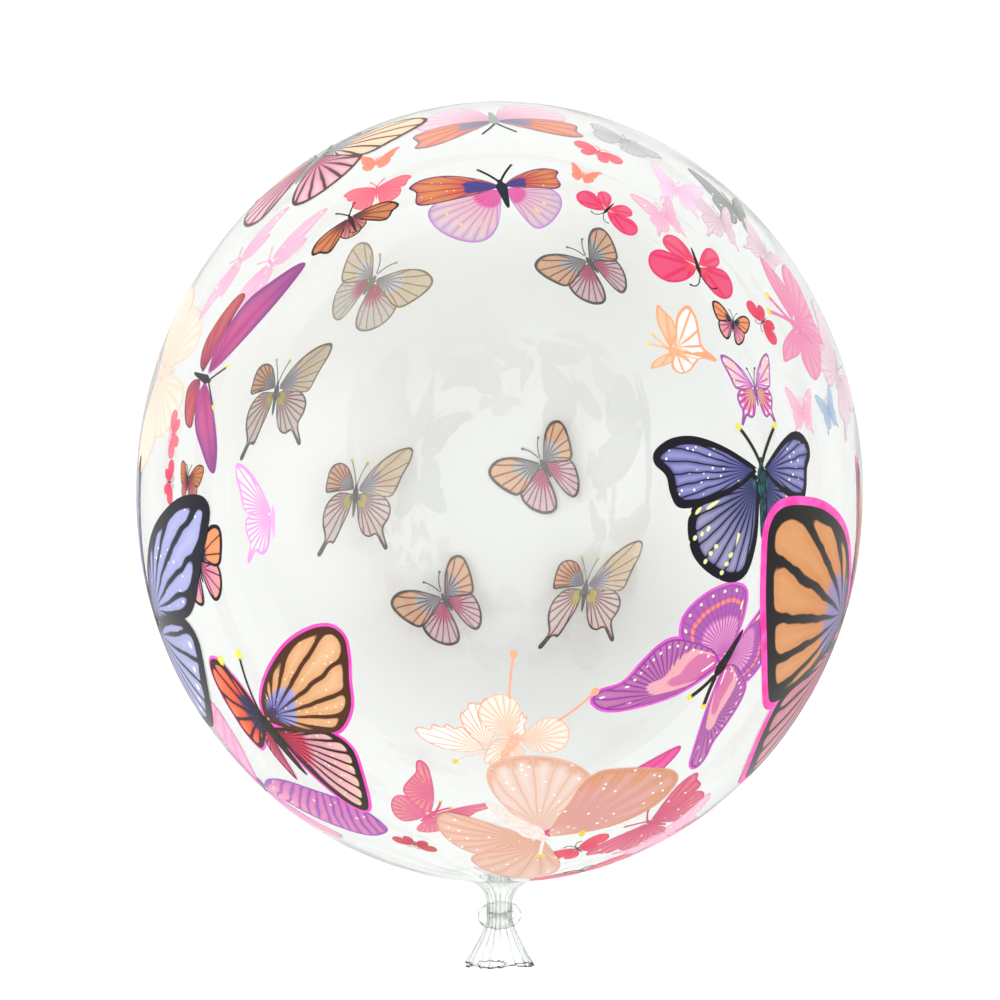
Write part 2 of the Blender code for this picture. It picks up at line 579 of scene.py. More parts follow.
@dataclass(frozen=True)
class WingInk:
    """Solvent ink, screen printed on the film's outside and then stretched with it.

    To the eye it is opaque and slightly glossy, laid down as hand-drawn cells of colour between
    dark veins, with brush streaks that run outwards from the wing's root. Widths are in
    hundredths of the butterfly's half-span, so that a small one is drawn with finer lines.
    """

    name: str
    ground: tuple[tuple[float, str], ...]  # colours from the root, 0, to the margin, 1
    line: str = "#1B1311"
    veins: int = 14  # in a full turn about the wing's hub
    vein: float = 1.3
    vein_share: float = 0.17  # the most of its cell that a vein takes up where they meet
    vein_start: float = 0.0  # how far out the veins begin, from the root, 0, to the margin, 1
    margin: float = 7.0
    soft: float = 0.5
    rounding: float = 0.4  # of the cells' corners, as a share of the margin
    glow: str = "#FFFFFF"  # in the middle of each cell
    glow_share: float = 0.25
    glow_reach: float = 6.0  # how far from the lines it is full
    streak_share: float = 0.30
    dots: str = ""
    dot_count: int = 40  # in a full turn about the hub
    dot_size: float = 1.6
    dot_rows: tuple[float, float] = (4.0, 50.0)  # from the margin in, and half the space between
    dot_depth: float = 8.0  # how far in from the margin the rows go
    dot_start: float = 35.0  # how far from the hub they begin
    dot_from: float = -0.5  # the turn about the hub where they begin
    flecks: str = ""
    fleck_spacing: float = 4 * MM
    fleck_size: float = 0.16
    band: str = ""
    band_reach: tuple[float, float] = (0.6, 0.7)
    wobble: float = 0.6

    def off_lines(self, tree: Tree, reach: Socket, sweep: Node, turn_length: Socket, edge: Node) -> Node:
        """Adds how far a place lies from the drawn lines, which are the veins and the margin.

        Args:
            tree: the finish's node tree.
            reach: how far out the place is, from the root, 0, to the outline, 1.
            sweep: its turn about the hub.
            turn_length: how long a full turn about the hub is there.
            edge: how far in from the outline it is.

        Returns:
            The distance, which is below 0 on a line.
        """
        turns = node(tree, "Math", {0: sweep, 1: float(self.veins)}, operation="MULTIPLY")
        off_vein = node(tree, "Math", {0: turns, 1: 0.5}, operation="PINGPONG")
        spacing = node(tree, "Math", {0: turn_length, 1: float(self.veins)}, operation="DIVIDE")
        across = node(tree, "Math", {0: off_vein, 1: spacing}, operation="MULTIPLY")
        widest = node(tree, "Math", {0: spacing, 1: self.vein_share}, operation="MULTIPLY")
        vein = node(tree, "Math", {0: widest, 1: self.vein}, operation="MINIMUM")
        if self.vein_start:
            bare = node(tree, "Math", {0: reach, 1: self.vein_start}, operation="LESS_THAN")
            vein = node(tree, "Math", {0: bare, 1: -OUT_OF_REACH, 2: vein}, operation="MULTIPLY_ADD")
        vein_gap = node(tree, "Math", {0: across, 1: vein}, operation="SUBTRACT")
        widths = {3: HUB_MARGIN * self.margin, 4: self.margin}
        margin = node(tree, "MapRange", {0: turn_length, 1: 0.0, 2: FULL_MARGIN_TURN} | widths)
        margin_gap = node(tree, "Math", {0: edge, 1: margin}, operation="SUBTRACT")
        gaps = {0: vein_gap, 1: margin_gap, 2: self.rounding * self.margin}
        return node(tree, "Math", gaps, operation="SMOOTH_MIN")

    def add_streaks(self, tree: Tree, reach: Socket, sweep: Node, paint: Socket) -> Socket:
        """Adds the brush streaks that run outwards from the root, and returns the new paint."""
        fan = node(tree, "Math", {0: sweep, 1: STREAKS_ACROSS}, operation="MULTIPLY")
        outward = node(tree, "Math", {0: reach, 1: STREAKS_ALONG}, operation="MULTIPLY")
        brush = node(tree, "CombineXYZ", {0: fan, 1: outward})
        brushed = node(tree, "TexNoise", {"Vector": brush, "Scale": 1.0, "Detail": 3.0})
        streak = node(tree, "MapRange", {0: brushed.outputs[0], 1: 0.35, 2: 0.75, 4: self.streak_share})
        return cover(tree, streak, paint, self.line)

    def add_band(self, tree: Tree, zone: Node, paint: Socket) -> Socket:
        """Adds the band that crosses the cells, and returns the new paint."""
        low, high = self.band_reach
        off_band = node(tree, "Math", {0: zone, 1: (low + high) / 2}, operation="SUBTRACT")
        off_band = node(tree, "Math", {0: off_band}, operation="ABSOLUTE")
        half = (high - low) / 2
        limits = {1: half - BAND_SOFTNESS, 2: half + BAND_SOFTNESS, 3: 1.0, 4: 0.0}
        return cover(tree, node(tree, "MapRange", {0: off_band} | limits), paint, self.band)

    def add_flecks(self, tree: Tree, place: Socket, paint: Socket) -> Socket:
        """Adds small round specks, and returns the new paint."""
        grains = node(tree, "TexVoronoi", {"Vector": place, "Scale": 1 / self.fleck_spacing})
        limits = {1: self.fleck_size, 2: self.fleck_size + FLECK_SOFTNESS, 3: 1.0, 4: 0.0}
        flecked = node(tree, "MapRange", {0: grains.outputs["Distance"]} | limits)
        return cover(tree, flecked, paint, self.flecks)

    def add_dots(self, tree: Tree, sweep: Node, turn_length: Socket, edge: Node, paint: Socket) -> Socket:
        """Adds the rows of dots along the margin.

        Args:
            tree: the finish's node tree.
            sweep: a place's turn about the hub.
            turn_length: how long a full turn about the hub is there.
            edge: how far in from the outline it is.
            paint: the wing's paint without the dots.

        Returns:
            The paint with them.
        """
        first, gap = self.dot_rows
        row = node(tree, "Math", {0: edge, 1: first}, operation="SUBTRACT")
        row = node(tree, "Math", {0: row, 1: gap}, operation="PINGPONG")
        count = float(self.dot_count)
        beside = node(tree, "Math", {0: sweep, 1: count, 2: 0.5}, operation="MULTIPLY_ADD")
        beside = node(tree, "Math", {0: beside, 1: 0.5}, operation="PINGPONG")
        beside = node(tree, "Math", {0: beside, 1: turn_length}, operation="MULTIPLY")
        beside = node(tree, "Math", {0: beside, 1: count}, operation="DIVIDE")
        spot = node(tree, "CombineXYZ", {0: row, 1: beside})
        spot = node(tree, "VectorMath", {0: spot}, operation="LENGTH").outputs["Value"]
        deep = node(tree, "Math", {0: edge, 1: self.dot_depth}, operation="GREATER_THAN")
        start = 2 * math.pi * self.dot_start
        close = node(tree, "Math", {0: turn_length, 1: start}, operation="LESS_THAN")
        before = node(tree, "Math", {0: sweep, 1: self.dot_from}, operation="LESS_THAN")
        bare = node(tree, "Math", {0: deep, 1: close}, operation="ADD")
        bare = node(tree, "Math", {0: bare, 1: before}, operation="ADD")
        spot = node(tree, "Math", {0: bare, 1: OUT_OF_REACH, 2: spot}, operation="MULTIPLY_ADD")
        limits = {1: self.dot_size - DOT_SOFTNESS, 2: self.dot_size + DOT_SOFTNESS, 3: 1.0, 4: 0.0}
        return cover(tree, node(tree, "MapRange", {0: spot} | limits), paint, self.dots)

    @cache
    def make(self) -> bpy.types.Material:
        """Returns the finish, made once for all the butterflies that share it."""
        material, tree, shader = new_material("screen_printed_" + self.name)
        place = node(tree, "TexCoord").outputs["Object"]
        reach, sweep, turn_length, edge = (
            node(tree, "Attribute", attribute_name=name).outputs["Fac"] for name in WING_FIELDS
        )
        waver = node(tree, "TexNoise", {"Vector": place, "Scale": 1 / WAVER_SIZE, "Detail": 1.0})
        waver = node(tree, "SeparateColor", {0: waver.outputs["Color"]})
        nudge = node(tree, "MapRange", {0: waver.outputs[0], 1: 0.3, 2: 0.7, 3: -1.0, 4: 1.0})
        drift = node(tree, "MapRange", {0: waver.outputs[1], 1: 0.3, 2: 0.7, 3: -1.0, 4: 1.0})
        edge = node(tree, "Math", {0: nudge, 1: self.wobble, 2: edge}, operation="MULTIPLY_ADD")
        sweep = node(tree, "Math", {0: drift, 1: VEIN_DRIFT, 2: sweep}, operation="MULTIPLY_ADD")
        off_lines = self.off_lines(tree, reach, sweep, turn_length, edge)

        zone = node(tree, "Math", {0: nudge, 1: GROUND_WAVER, 2: reach}, operation="MULTIPLY_ADD")
        ground = node(tree, "ValToRGB", {0: zone})
        stops = ground.color_ramp.elements
        for index, (share, code) in enumerate(self.ground):
            stop = stops[index] if index < 2 else stops.new(share)
            stop.position = share
            stop.color = colour(code)
        paint = self.add_streaks(tree, reach, sweep, ground.outputs["Color"])
        limits = {1: 0.5, 2: self.glow_reach, 3: 0.0, 4: self.glow_share}
        glow = node(tree, "MapRange", {0: off_lines} | limits, interpolation_type="SMOOTHSTEP")
        paint = cover(tree, glow, paint, self.glow)
        if self.band:
            paint = self.add_band(tree, zone, paint)
        if self.flecks:
            paint = self.add_flecks(tree, place, paint)
        limits = {1: -self.soft, 2: self.soft, 3: 1.0, 4: 0.0}
        drawn = node(tree, "MapRange", {0: off_lines} | limits, interpolation_type="SMOOTHSTEP")
        paint = cover(tree, drawn, paint, self.line)
        if self.dots:
            paint = self.add_dots(tree, sweep, turn_length, edge, paint)
        relief = node(tree, "Bump", {"Height": drawn, "Distance": LINE_RELIEF, "Strength": 1.0})
        tree.links.new(relief.outputs["Normal"], shader.inputs["Normal"])
        dry(tree, shader, paint)
        return material


@dataclass(frozen=True)
class BodyInk:
    """The same ink where it draws a furry body: dark, with lighter hairs brushed along it."""

    name: str
    dark: str = "#17120F"
    hair: str = "#4A3A30"
    hair_share: float = 0.6
    hair_grain: tuple[float, float] = (9.0, 5.0)  # along the body, and from its middle to its side

    @cache
    def make(self) -> bpy.types.Material:
        """Returns the finish, made once for all the butterflies that share it."""
        material, tree, shader = new_material("screen_printed_" + self.name)
        along, across = (
            node(tree, "Attribute", attribute_name=name).outputs["Fac"] for name in WING_FIELDS[:2]
        )
        length_grain, width_grain = self.hair_grain
        stretched = node(tree, "Math", {0: along, 1: length_grain}, operation="MULTIPLY")
        packed = node(tree, "Math", {0: across, 1: width_grain}, operation="MULTIPLY")
        brush = node(tree, "CombineXYZ", {0: stretched, 1: packed})
        hairs = node(tree, "TexNoise", {"Vector": brush, "Scale": 1.0, "Detail": 3.0})
        share = node(tree, "MapRange", {0: hairs.outputs[0], 1: 0.45, 2: 0.65, 4: self.hair_share})
        dry(tree, shader, cover(tree, share, colour(self.dark), self.hair))
        return material


@dataclass(frozen=True)
class FeelerInk:
    """The same ink where it draws the antennae: a fine line that ends in a drop of a colour."""

    name: str
    line: str = "#1B1311"
    tip: str = "#1B1311"
    tip_start: tuple[float, float] = (0.84, 0.88)  # where the drop's colour comes in

    @cache
    def make(self) -> bpy.types.Material:
        """Returns the finish, made once for all the butterflies that share it."""
        material, tree, shader = new_material("screen_printed_" + self.name)
        along = node(tree, "Attribute", attribute_name=WING_FIELDS[0]).outputs["Fac"]
        at_tip = node(tree, "MapRange", {0: along, 1: self.tip_start[0], 2: self.tip_start[1]})
        dry(tree, shader, cover(tree, at_tip, colour(self.line), self.tip))
        return material


@dataclass(frozen=True)
class HaloInk:
    """The same ink as a plain edging that shows all round a butterfly's wings."""

    name: str
    bright: str
    deep: str
    patch: float = 9 * MM  # from one deeper patch to the next

    @cache
    def make(self) -> bpy.types.Material:
        """Returns the finish, made once for all the butterflies that share it."""
        material, tree, shader = new_material("screen_printed_" + self.name)
        place = node(tree, "TexCoord").outputs["Object"]
        wash = node(tree, "TexNoise", {"Vector": place, "Scale": 1 / self.patch, "Detail": 2.0})
        share = node(tree, "MapRange", {0: wash.outputs[0], 1: 0.35, 2: 0.65})
        dry(tree, shader, cover(tree, share, colour(self.bright), self.deep))
        return material


Ink = WingInk | BodyInk | FeelerInk | HaloInk


@dataclass(frozen=True)
class Palette:
    """The inks of one butterfly."""

    fore: WingInk
    hind: WingInk
    body: BodyInk
    feelers: FeelerInk
    halo: HaloInk | None = None
    halo_width: float = 3.0


@dataclass(frozen=True)
class Wing:
    """One wing, with the body along x 0 and the head towards +y."""

    root: tuple[float, float]
    outline: tuple[tuple[float, float], ...]  # from the leading edge round to the trailing edge
    hub: tuple[float, float]  # where the veins fan out from
    grow: float = 0.0  # how far the outline is let out all round

    def curve(self, count: int) -> np.ndarray:
        """Returns count + 1 evenly spaced points of a smooth curve from the root round to it."""
        knots = np.array([self.root, self.root, *self.outline, self.root, self.root]) / HALF_SPAN
        share = np.linspace(0, 1, SPAN_STEPS, endpoint=False)[:, None]
        spans = []
        for a, b, c, d in zip(knots, knots[1:], knots[2:], knots[3:]):
            bend, twist = 2 * a - 5 * b + 4 * c - d, 3 * b - a - 3 * c + d
            spans.append(0.5 * (2 * b + (c - a) * share + bend * share**2 + twist * share**3))
        points = np.concatenate([*spans, knots[:1]])
        steps = np.hypot(*np.diff(points, axis=0).T)
        along = np.concatenate([[0], np.cumsum(steps)])
        even = np.linspace(0, along[-1], count + 1)
        return np.stack([np.interp(even, along, points[:, axis]) for axis in (0, 1)], axis=1)

    def length(self) -> float:
        """Returns the length of the wing's outline in half-spans."""
        return float(np.hypot(*np.diff(self.curve(LENGTH_STEPS), axis=0).T).sum())

    def draw(self, around: np.ndarray, reach: np.ndarray) -> tuple[np.ndarray, dict]:
        """Finds where the points of a grid lie in the wing, and what its ink is drawn from.

        Args:
            around: each point's share of the way round the outline.
            reach: its share of the way from the root to the outline.

        Returns:
            The points in half-spans, and each wing field's value at them.
        """
        root, hub = np.array(self.root) / HALF_SPAN, np.array(self.hub) / HALF_SPAN
        line = self.curve(RIM_STEPS)
        if self.grow:
            ahead = np.roll(line, -1, axis=0) - np.roll(line, 1, axis=0)
            ahead /= np.hypot(*ahead.T)[:, None]
            line = line + self.grow / HALF_SPAN * np.stack([-ahead[:, 1], ahead[:, 0]], axis=1)
        column, columns = around * RIM_STEPS, np.arange(RIM_STEPS + 1)
        rim = np.stack([np.interp(column, columns, line[:, axis]) for axis in (0, 1)], axis=1)
        reach = ROOT_SHARE + (1 - ROOT_SHARE) * reach
        points = root + (rim - root) * reach[:, None]
        axis = (hub - root) / np.hypot(*(hub - root))
        out = points - hub
        angle = np.arctan2(axis[0] * out[:, 1] - axis[1] * out[:, 0], out @ axis)
        start, step = line[:-1], np.diff(line, axis=0)
        gap = points[:, None] - start
        share = ((gap * step).sum(2) / np.maximum((step * step).sum(1), 1e-12)).clip(0, 1)
        edge = np.hypot(*np.moveaxis(gap - share[..., None] * step, 2, 0)).min(1)
        fields = {
            "reach": reach,
            "sweep": angle / (2 * math.pi),
            "turn_length": 2 * HALF_SPAN * math.pi * np.hypot(*out.T),
            "edge": HALF_SPAN * edge,
        }
        return points, fields


# A body's half-width from the end of its tail, 0, to the top of its head, 1, next to its plain one
SPINDLE = (
    (0.0, 0.12), (0.03, 0.35), (0.12, 0.6), (0.35, 0.9), (0.62, 1.3), (0.74, 1.5), (0.84, 1.1),
    (0.89, 0.6), (0.95, 0.75), (0.985, 0.5), (1.0, 0.12),
)
# An antenna's drop: the middle of it, half its length and how little is left of it at its ends
DROP_PLACE, DROP_REACH, DROP_END = 0.93, 0.07, 0.02


@dataclass(frozen=True)
class Body:
    """Head, chest and tail as one drawn spindle."""

    head: float = 17
    tail: float = -40
    half_width: float = 3.8

    def draw(self, around: np.ndarray, reach: np.ndarray) -> tuple[np.ndarray, dict]:
        """Finds where the points of a grid lie in the body, and what its ink is drawn from.

        Args:
            around: each point's share of the way across.
            reach: its share of the way from the tail to the head.

        Returns:
            The points in half-spans, and each wing field's value at them.
        """
        half = self.half_width * np.interp(reach, *zip(*SPINDLE))
        across = 2 * around - 1
        points = np.stack([across * half, self.tail + (self.head - self.tail) * reach], axis=1)
        return points / HALF_SPAN, {"reach": reach, "sweep": across}


@dataclass(frozen=True)
class Feeler:
    """One antenna: a line that bends outwards and swells into a drop."""

    start: tuple[float, float]
    bend: tuple[float, float]
    tip: tuple[float, float]
    half_width: float
    drop: float

    def draw(self, around: np.ndarray, reach: np.ndarray) -> tuple[np.ndarray, dict]:
        """Finds where the points of a grid lie in the antenna, and what its ink is drawn from.

        Args:
            around: each point's share of the way across.
            reach: its share of the way from the head to the tip.

        Returns:
            The points in half-spans, and each wing field's value at them.
        """
        start, bend, tip = (np.array(p) for p in (self.start, self.bend, self.tip))
        t = reach[:, None]
        middle = (1 - t) ** 2 * start + 2 * t * (1 - t) * bend + t**2 * tip
        along = 2 * (1 - t) * (bend - start) + 2 * t * (tip - bend)
        along /= np.hypot(*along.T)[:, None]
        inside = 1 - ((reach - DROP_PLACE) / DROP_REACH) ** 2
        round_drop = np.sqrt(np.clip(inside, DROP_END, 1)) * (reach > DROP_PLACE - DROP_REACH)
        swell = self.half_width + (self.drop - self.half_width) * round_drop
        side = np.stack([along[:, 1], -along[:, 0]], axis=1)
        points = middle + side * ((2 * around - 1) * swell)[:, None]
        return points / HALF_SPAN, {"reach": reach, "sweep": 2 * around - 1}


@dataclass(frozen=True)
class Form:
    """The outline of one kind of butterfly, its right half drawn in hundredths of its half-span."""

    fore: Wing
    hind: Wing
    body: Body = Body()
    feeler: Feeler = Feeler((1.2, 15), (6, 36), (20, 48), 1.0, 2.4)


# The outlines
MONARCH = Form(
    fore=Wing(
        root=(3, 5), hub=(15, 9),
        outline=(
            (16, 20), (40, 43), (68, 56), (91, 52), (98, 38), (94, 18), (86, 0), (74, -17), (58, -20),
            (40, -13), (20, -5),
        ),
    ),
    hind=Wing(
        root=(3, -3), hub=(10, -12),
        outline=(
            (25, 2), (50, -4), (65, -16), (68, -34), (62, -54), (48, -72), (32, -80), (19, -77),
            (10, -60), (5, -32),
        ),
    ),
)
SHORT_BODIED = replace(MONARCH, body=Body(head=12, tail=-26, half_width=4.2))
MORPHO = Form(
    fore=Wing(
        root=(3, 3), hub=(10, 3),
        outline=(
            (15, 10), (40, 22), (64, 29), (84, 28), (98, 20), (99, 11), (90, 2), (87, -11), (79, -21),
            (55, -19), (24, -9),
        ),
    ),
    hind=Wing(
        root=(3, -3), hub=(8, -10),
        outline=(
            (16, 4), (38, 0), (60, -12), (71, -26), (72, -40), (66, -56), (50, -69), (30, -76), (14, -71),
            (6, -50), (4, -25),
        ),
    ),
    body=Body(head=12, tail=-46, half_width=3.5), feeler=Feeler((1.2, 8), (8, 22), (22, 36), 1.4, 2),
)
SWALLOWTAIL = Form(
    fore=Wing(
        root=(3, 5), hub=(12, 11),
        outline=(
            (20, 34), (42, 60), (68, 80), (91, 86), (92, 66), (81, 38), (72, 12), (64, 2), (45, 0),
            (22, 0),
        ),
    ),
    hind=Wing(
        root=(3, -3), hub=(10, -9),
        outline=(
            (32, 6), (55, 0), (67, -14), (66, -32), (58, -48), (60, -60), (68, -80), (62, -84), (50, -66),
            (43, -62), (33, -68), (20, -64), (11, -48), (6, -26),
        ),
    ),
    body=Body(head=15, tail=-40, half_width=3.6), feeler=Feeler((1.2, 13), (5, 32), (16, 52), 1.1, 2.6),
)
HEART = Form(
    fore=Wing(
        root=(2, 2), hub=(12, 0),
        outline=(
            (16, 19), (42, 33), (70, 35), (91, 22), (96, 2), (86, -17), (66, -25), (42, -18), (20, -6),
        ),
    ),
    hind=Wing(
        root=(2, -3), hub=(8, -8),
        outline=((25, -10), (46, -20), (55, -36), (50, -50), (36, -57), (20, -52), (9, -36), (4, -18)),
    ),
    body=Body(head=20, tail=-36, half_width=3), feeler=Feeler((1, 17), (10, 46), (28, 36), 1, 1.6),
)
POINTED = Form(
    fore=Wing(
        root=(3, 6), hub=(36, 50),
        outline=(
            (17, 33), (34, 56), (56, 78), (76, 93), (92, 93), (92, 82), (80, 66), (77, 44), (72, 22),
            (62, 10), (42, 4), (20, 0),
        ),
    ),
    hind=Wing(
        root=(3, -2), hub=(10, -6),
        outline=(
            (30, 8), (56, 7), (66, -6), (64, -22), (53, -40), (36, -54), (19, -56), (9, -40), (4, -20),
        ),
    ),
    body=Body(head=22, tail=-28, half_width=3.6), feeler=Feeler((1.2, 18), (4, 32), (12, 46), 2, 3),
)
BROAD = Form(
    fore=Wing(
        root=(2, 4), hub=(10, 6),
        outline=(
            (9, 13), (28, 27), (56, 42), (82, 47), (99, 40), (93, 28), (97, 11), (88, 3), (60, -1),
            (28, -1),
        ),
    ),
    hind=Wing(
        root=(2, -1), hub=(7, -6),
        outline=(
            (34, 7), (66, 6), (84, -4), (88, -18), (82, -38), (67, -57), (48, -68), (31, -67), (17, -52),
            (7, -24),
        ),
    ),
    body=Body(head=16, tail=-30, half_width=4.5), feeler=Feeler((1.2, 13), (8, 26), (20, 40), 1.4, 1.4),
)

RAISED = Form(
    fore=Wing(
        root=(3, 5), hub=(16, 12),
        outline=(
            (12, 28), (28, 53), (50, 68), (72, 75), (88, 76), (97, 70), (100, 58), (99, 36), (92, 12),
            (81, -10), (70, -19), (45, -12), (20, -4),
        ),
    ),
    hind=Wing(
        root=(3, -3), hub=(10, -10),
        outline=(
            (30, -2), (52, -8), (65, -18), (66, -34), (59, -52), (43, -71), (30, -72), (20, -62),
            (12, -38), (5, -18),
        ),
    ),
)
TALL = Form(
    fore=Wing(
        root=(3, 6), hub=(18, 12),
        outline=(
            (12, 28), (28, 50), (47, 65), (62, 73), (77, 76), (85, 72), (85, 62), (81, 50), (76, 37),
            (71, 27), (62, 19), (42, 12), (20, 5),
        ),
    ),
    hind=Wing(
        root=(3, -2), hub=(12, -2),
        outline=(
            (16, 5), (36, 14), (55, 18), (67, 10), (64, -8), (53, -28), (38, -42), (22, -46), (10, -34),
            (5, -16),
        ),
    ),
)
LEANING = Form(
    fore=Wing(
        root=(2, 3), hub=(13, 5),
        outline=(
            (9, 16), (28, 30), (56, 42), (80, 45), (97, 41), (103, 31), (98, 18), (90, 6), (79, -10),
            (61, -20), (44, -18), (22, -9),
        ),
    ),
    hind=Wing(
        root=(2, -2), hub=(8, -10),
        outline=(
            (26, -8), (48, -17), (57, -34), (48, -53), (31, -75), (19, -82), (11, -70), (7, -46),
            (4, -20),
        ),
    ),
    body=Body(head=14, tail=-42, half_width=3.6), feeler=Feeler((1.2, 12), (4, 30), (13, 52), 1, 3),
)
LONG = Form(
    fore=Wing(
        root=(3, 5), hub=(10, 8),
        outline=((15, 17), (40, 32), (70, 43), (97, 46), (98, 39), (80, 25), (62, 12), (45, 6), (20, 2)),
    ),
    hind=Wing(
        root=(3, -2), hub=(8, -3),
        outline=((25, 4), (45, 5), (62, 5), (60, -4), (42, -12), (22, -16), (8, -11)),
    ),
    body=Body(head=12, tail=-14, half_width=2.2), feeler=Feeler((1.2, 10), (6, 16), (16, 27), 0.6, 1),
)
FOLDED = Form(
    fore=Wing(
        root=(3, 8), hub=(12, 12), outline=((20, 30), (45, 52), (80, 60), (74, 40), (62, 16), (35, 2)),
    ),
    hind=Wing(
        root=(4, 0), hub=(12, -5),
        outline=(
            (42, 8), (82, 12), (116, -6), (102, -30), (76, -44), (58, -52), (44, -62), (38, -98),
            (29, -96), (26, -60), (12, -38),
        ),
    ),
    body=Body(head=20, tail=-40, half_width=5), feeler=Feeler((1.2, 18), (6, 40), (14, 62), 2.5, 5),
)
SCALLOPED = Form(
    fore=Wing(
        root=(3, 4), hub=(10, 5),
        outline=(
            (20, 20), (50, 35), (80, 40), (102, 33), (94, 22), (84, 20), (86, 8), (72, 7), (70, -4),
            (57, -2), (50, -11), (28, -5),
        ),
    ),
    hind=Wing(
        root=(3, -2), hub=(7, -6),
        outline=(
            (24, -2), (48, -12), (62, -26), (58, -38), (60, -50), (47, -56), (44, -69), (32, -68),
            (22, -74), (14, -58), (6, -28),
        ),
    ),
    body=Body(head=10, tail=-20, half_width=2), feeler=Feeler((1.2, 10), (22, 24), (30, 50), 1, 4.5),
)
LOBED = Form(
    fore=Wing(
        root=(8, 2), hub=(30, 20),
        outline=((14, 42), (30, 70), (56, 80), (84, 68), (98, 42), (92, 14), (68, -2), (38, -6)),
    ),
    hind=Wing(
        root=(5, -5), hub=(8, -12), outline=((24, -10), (36, -30), (34, -60), (22, -82), (10, -60)),
    ),
    body=Body(head=16, tail=-60, half_width=8), feeler=Feeler((55, 74), (76, 110), (96, 166), 2.5, 8),
)
NARROW_SWALLOWTAIL = Form(
    fore=Wing(
        root=(3, 5), hub=(10, 8),
        outline=((10, 24), (22, 40), (38, 43), (52, 34), (57, 14), (56, -8), (38, -2), (20, 0)),
    ),
    hind=Wing(
        root=(3, -3), hub=(10, -9),
        outline=(
            (30, -4), (49, -20), (57, -40), (57, -60), (51, -84), (64, -108), (57, -111), (43, -87),
            (33, -87), (21, -62), (8, -30),
        ),
    ),
)
NARROW_BROAD = replace(
    BROAD,
    fore=Wing(
        root=(2, 4), hub=(10, 6),
        outline=(
            (14, 15), (38, 26), (57, 28), (70, 22), (65, 12), (67, -2), (58, -8), (40, -5), (20, -2),
        ),
    ),
    hind=Wing(
        root=(2, -1), hub=(7, -6),
        outline=(
            (28, 2), (50, -4), (61, -18), (60, -34), (50, -50), (36, -62), (23, -64), (14, -50), (6, -24),
        ),
    ),
)
RIBBED = replace(
    LONG,
    fore=Wing(
        root=(3, 5), hub=(50, 125),
        outline=(
            (10, 28), (24, 46), (42, 56), (66, 63), (86, 60), (97, 50), (98, 42), (90, 31), (78, 24),
            (57, 19), (35, 14), (18, 7),
        ),
    ),
)
SPREAD = replace(
    MONARCH, body=Body(head=10, tail=-56, half_width=5.5),
    feeler=Feeler((2, 8), (10, 14), (21, 27), 1.2, 4.5),
)


@dataclass
class InkSheet:
    """The mesh of one butterfly: x and y in half-spans, z over the film in metres."""

    half_span: float  # in metres
    shape: bmesh.types.BMesh
    inks: list[Ink]

    @classmethod
    def blank(cls, half_span: float) -> "InkSheet":
        """Returns a sheet with nothing drawn on it yet."""
        shape = bmesh.new()
        for name in WING_FIELDS:
            shape.verts.layers.float.new(name)
        return cls(half_span, shape, [])

    def add(
        self, drawing: Wing | Body | Feeler, cells: tuple[int, int], thickness: float, ink: Ink,
        place: Matrix,
    ) -> None:
        """Adds one patch of ink as a thin closed slab.

        Args:
            drawing: what the patch shows.
            cells: how many faces it has across and from its start to its end.
            thickness: of the slab, in metres.
            ink: its finish.
            place: how the drawing is turned, narrowed or mirrored on the sheet.
        """
        columns, rows = cells
        made = bmesh.ops.create_grid(self.shape, x_segments=columns, y_segments=rows, size=0.5)
        verts = made["verts"]
        grid = np.array([vert.co[:2] for vert in verts]) + 0.5
        points, fields = drawing.draw(grid[:, 0], grid[:, 1])
        for vert, (x, y) in zip(verts, points):
            vert.co = place @ Vector((x, y, 0.0))
            vert.co.z = -thickness / 2
        for name, values in fields.items():
            layer = self.shape.verts.layers.float[name]
            for vert, value in zip(verts, values):
                vert[layer] = float(value)
        faces = list({face for vert in verts for face in vert.link_faces})
        made = bmesh.ops.extrude_face_region(self.shape, geom=faces)["geom"]
        raised = [item for item in made if isinstance(item, bmesh.types.BMVert)]
        bmesh.ops.translate(self.shape, verts=raised, vec=(0.0, 0.0, thickness))
        touched = {face for vert in (*verts, *raised) for face in vert.link_faces}
        if ink not in self.inks:
            self.inks.append(ink)
        for face in touched:
            face.material_index = self.inks.index(ink)

    def cells_of(self, wing: Wing) -> tuple[int, int]:
        """Returns how finely a wing is divided, from its real size."""
        around = round(wing.length() * self.half_span / OUTLINE_STEP)
        outward = round(self.half_span / REACH_STEP)
        return max(WING_CELLS[0], around), max(WING_CELLS[1], outward)


@dataclass(frozen=True)
class Pose:
    """How one side of a butterfly is drawn."""

    spread: float = 1.0  # its width as a share of the flat form's
    raise_by: float = 0.0  # the wings' turn towards the head, in degrees
    form: Form | None = None  # if this side has outlines of its own
    fore: WingInk | None = None  # if its fore wing has an ink of its own
    hind: WingInk | None = None
    hind_size: float = 1.0  # as a share of the flat form's


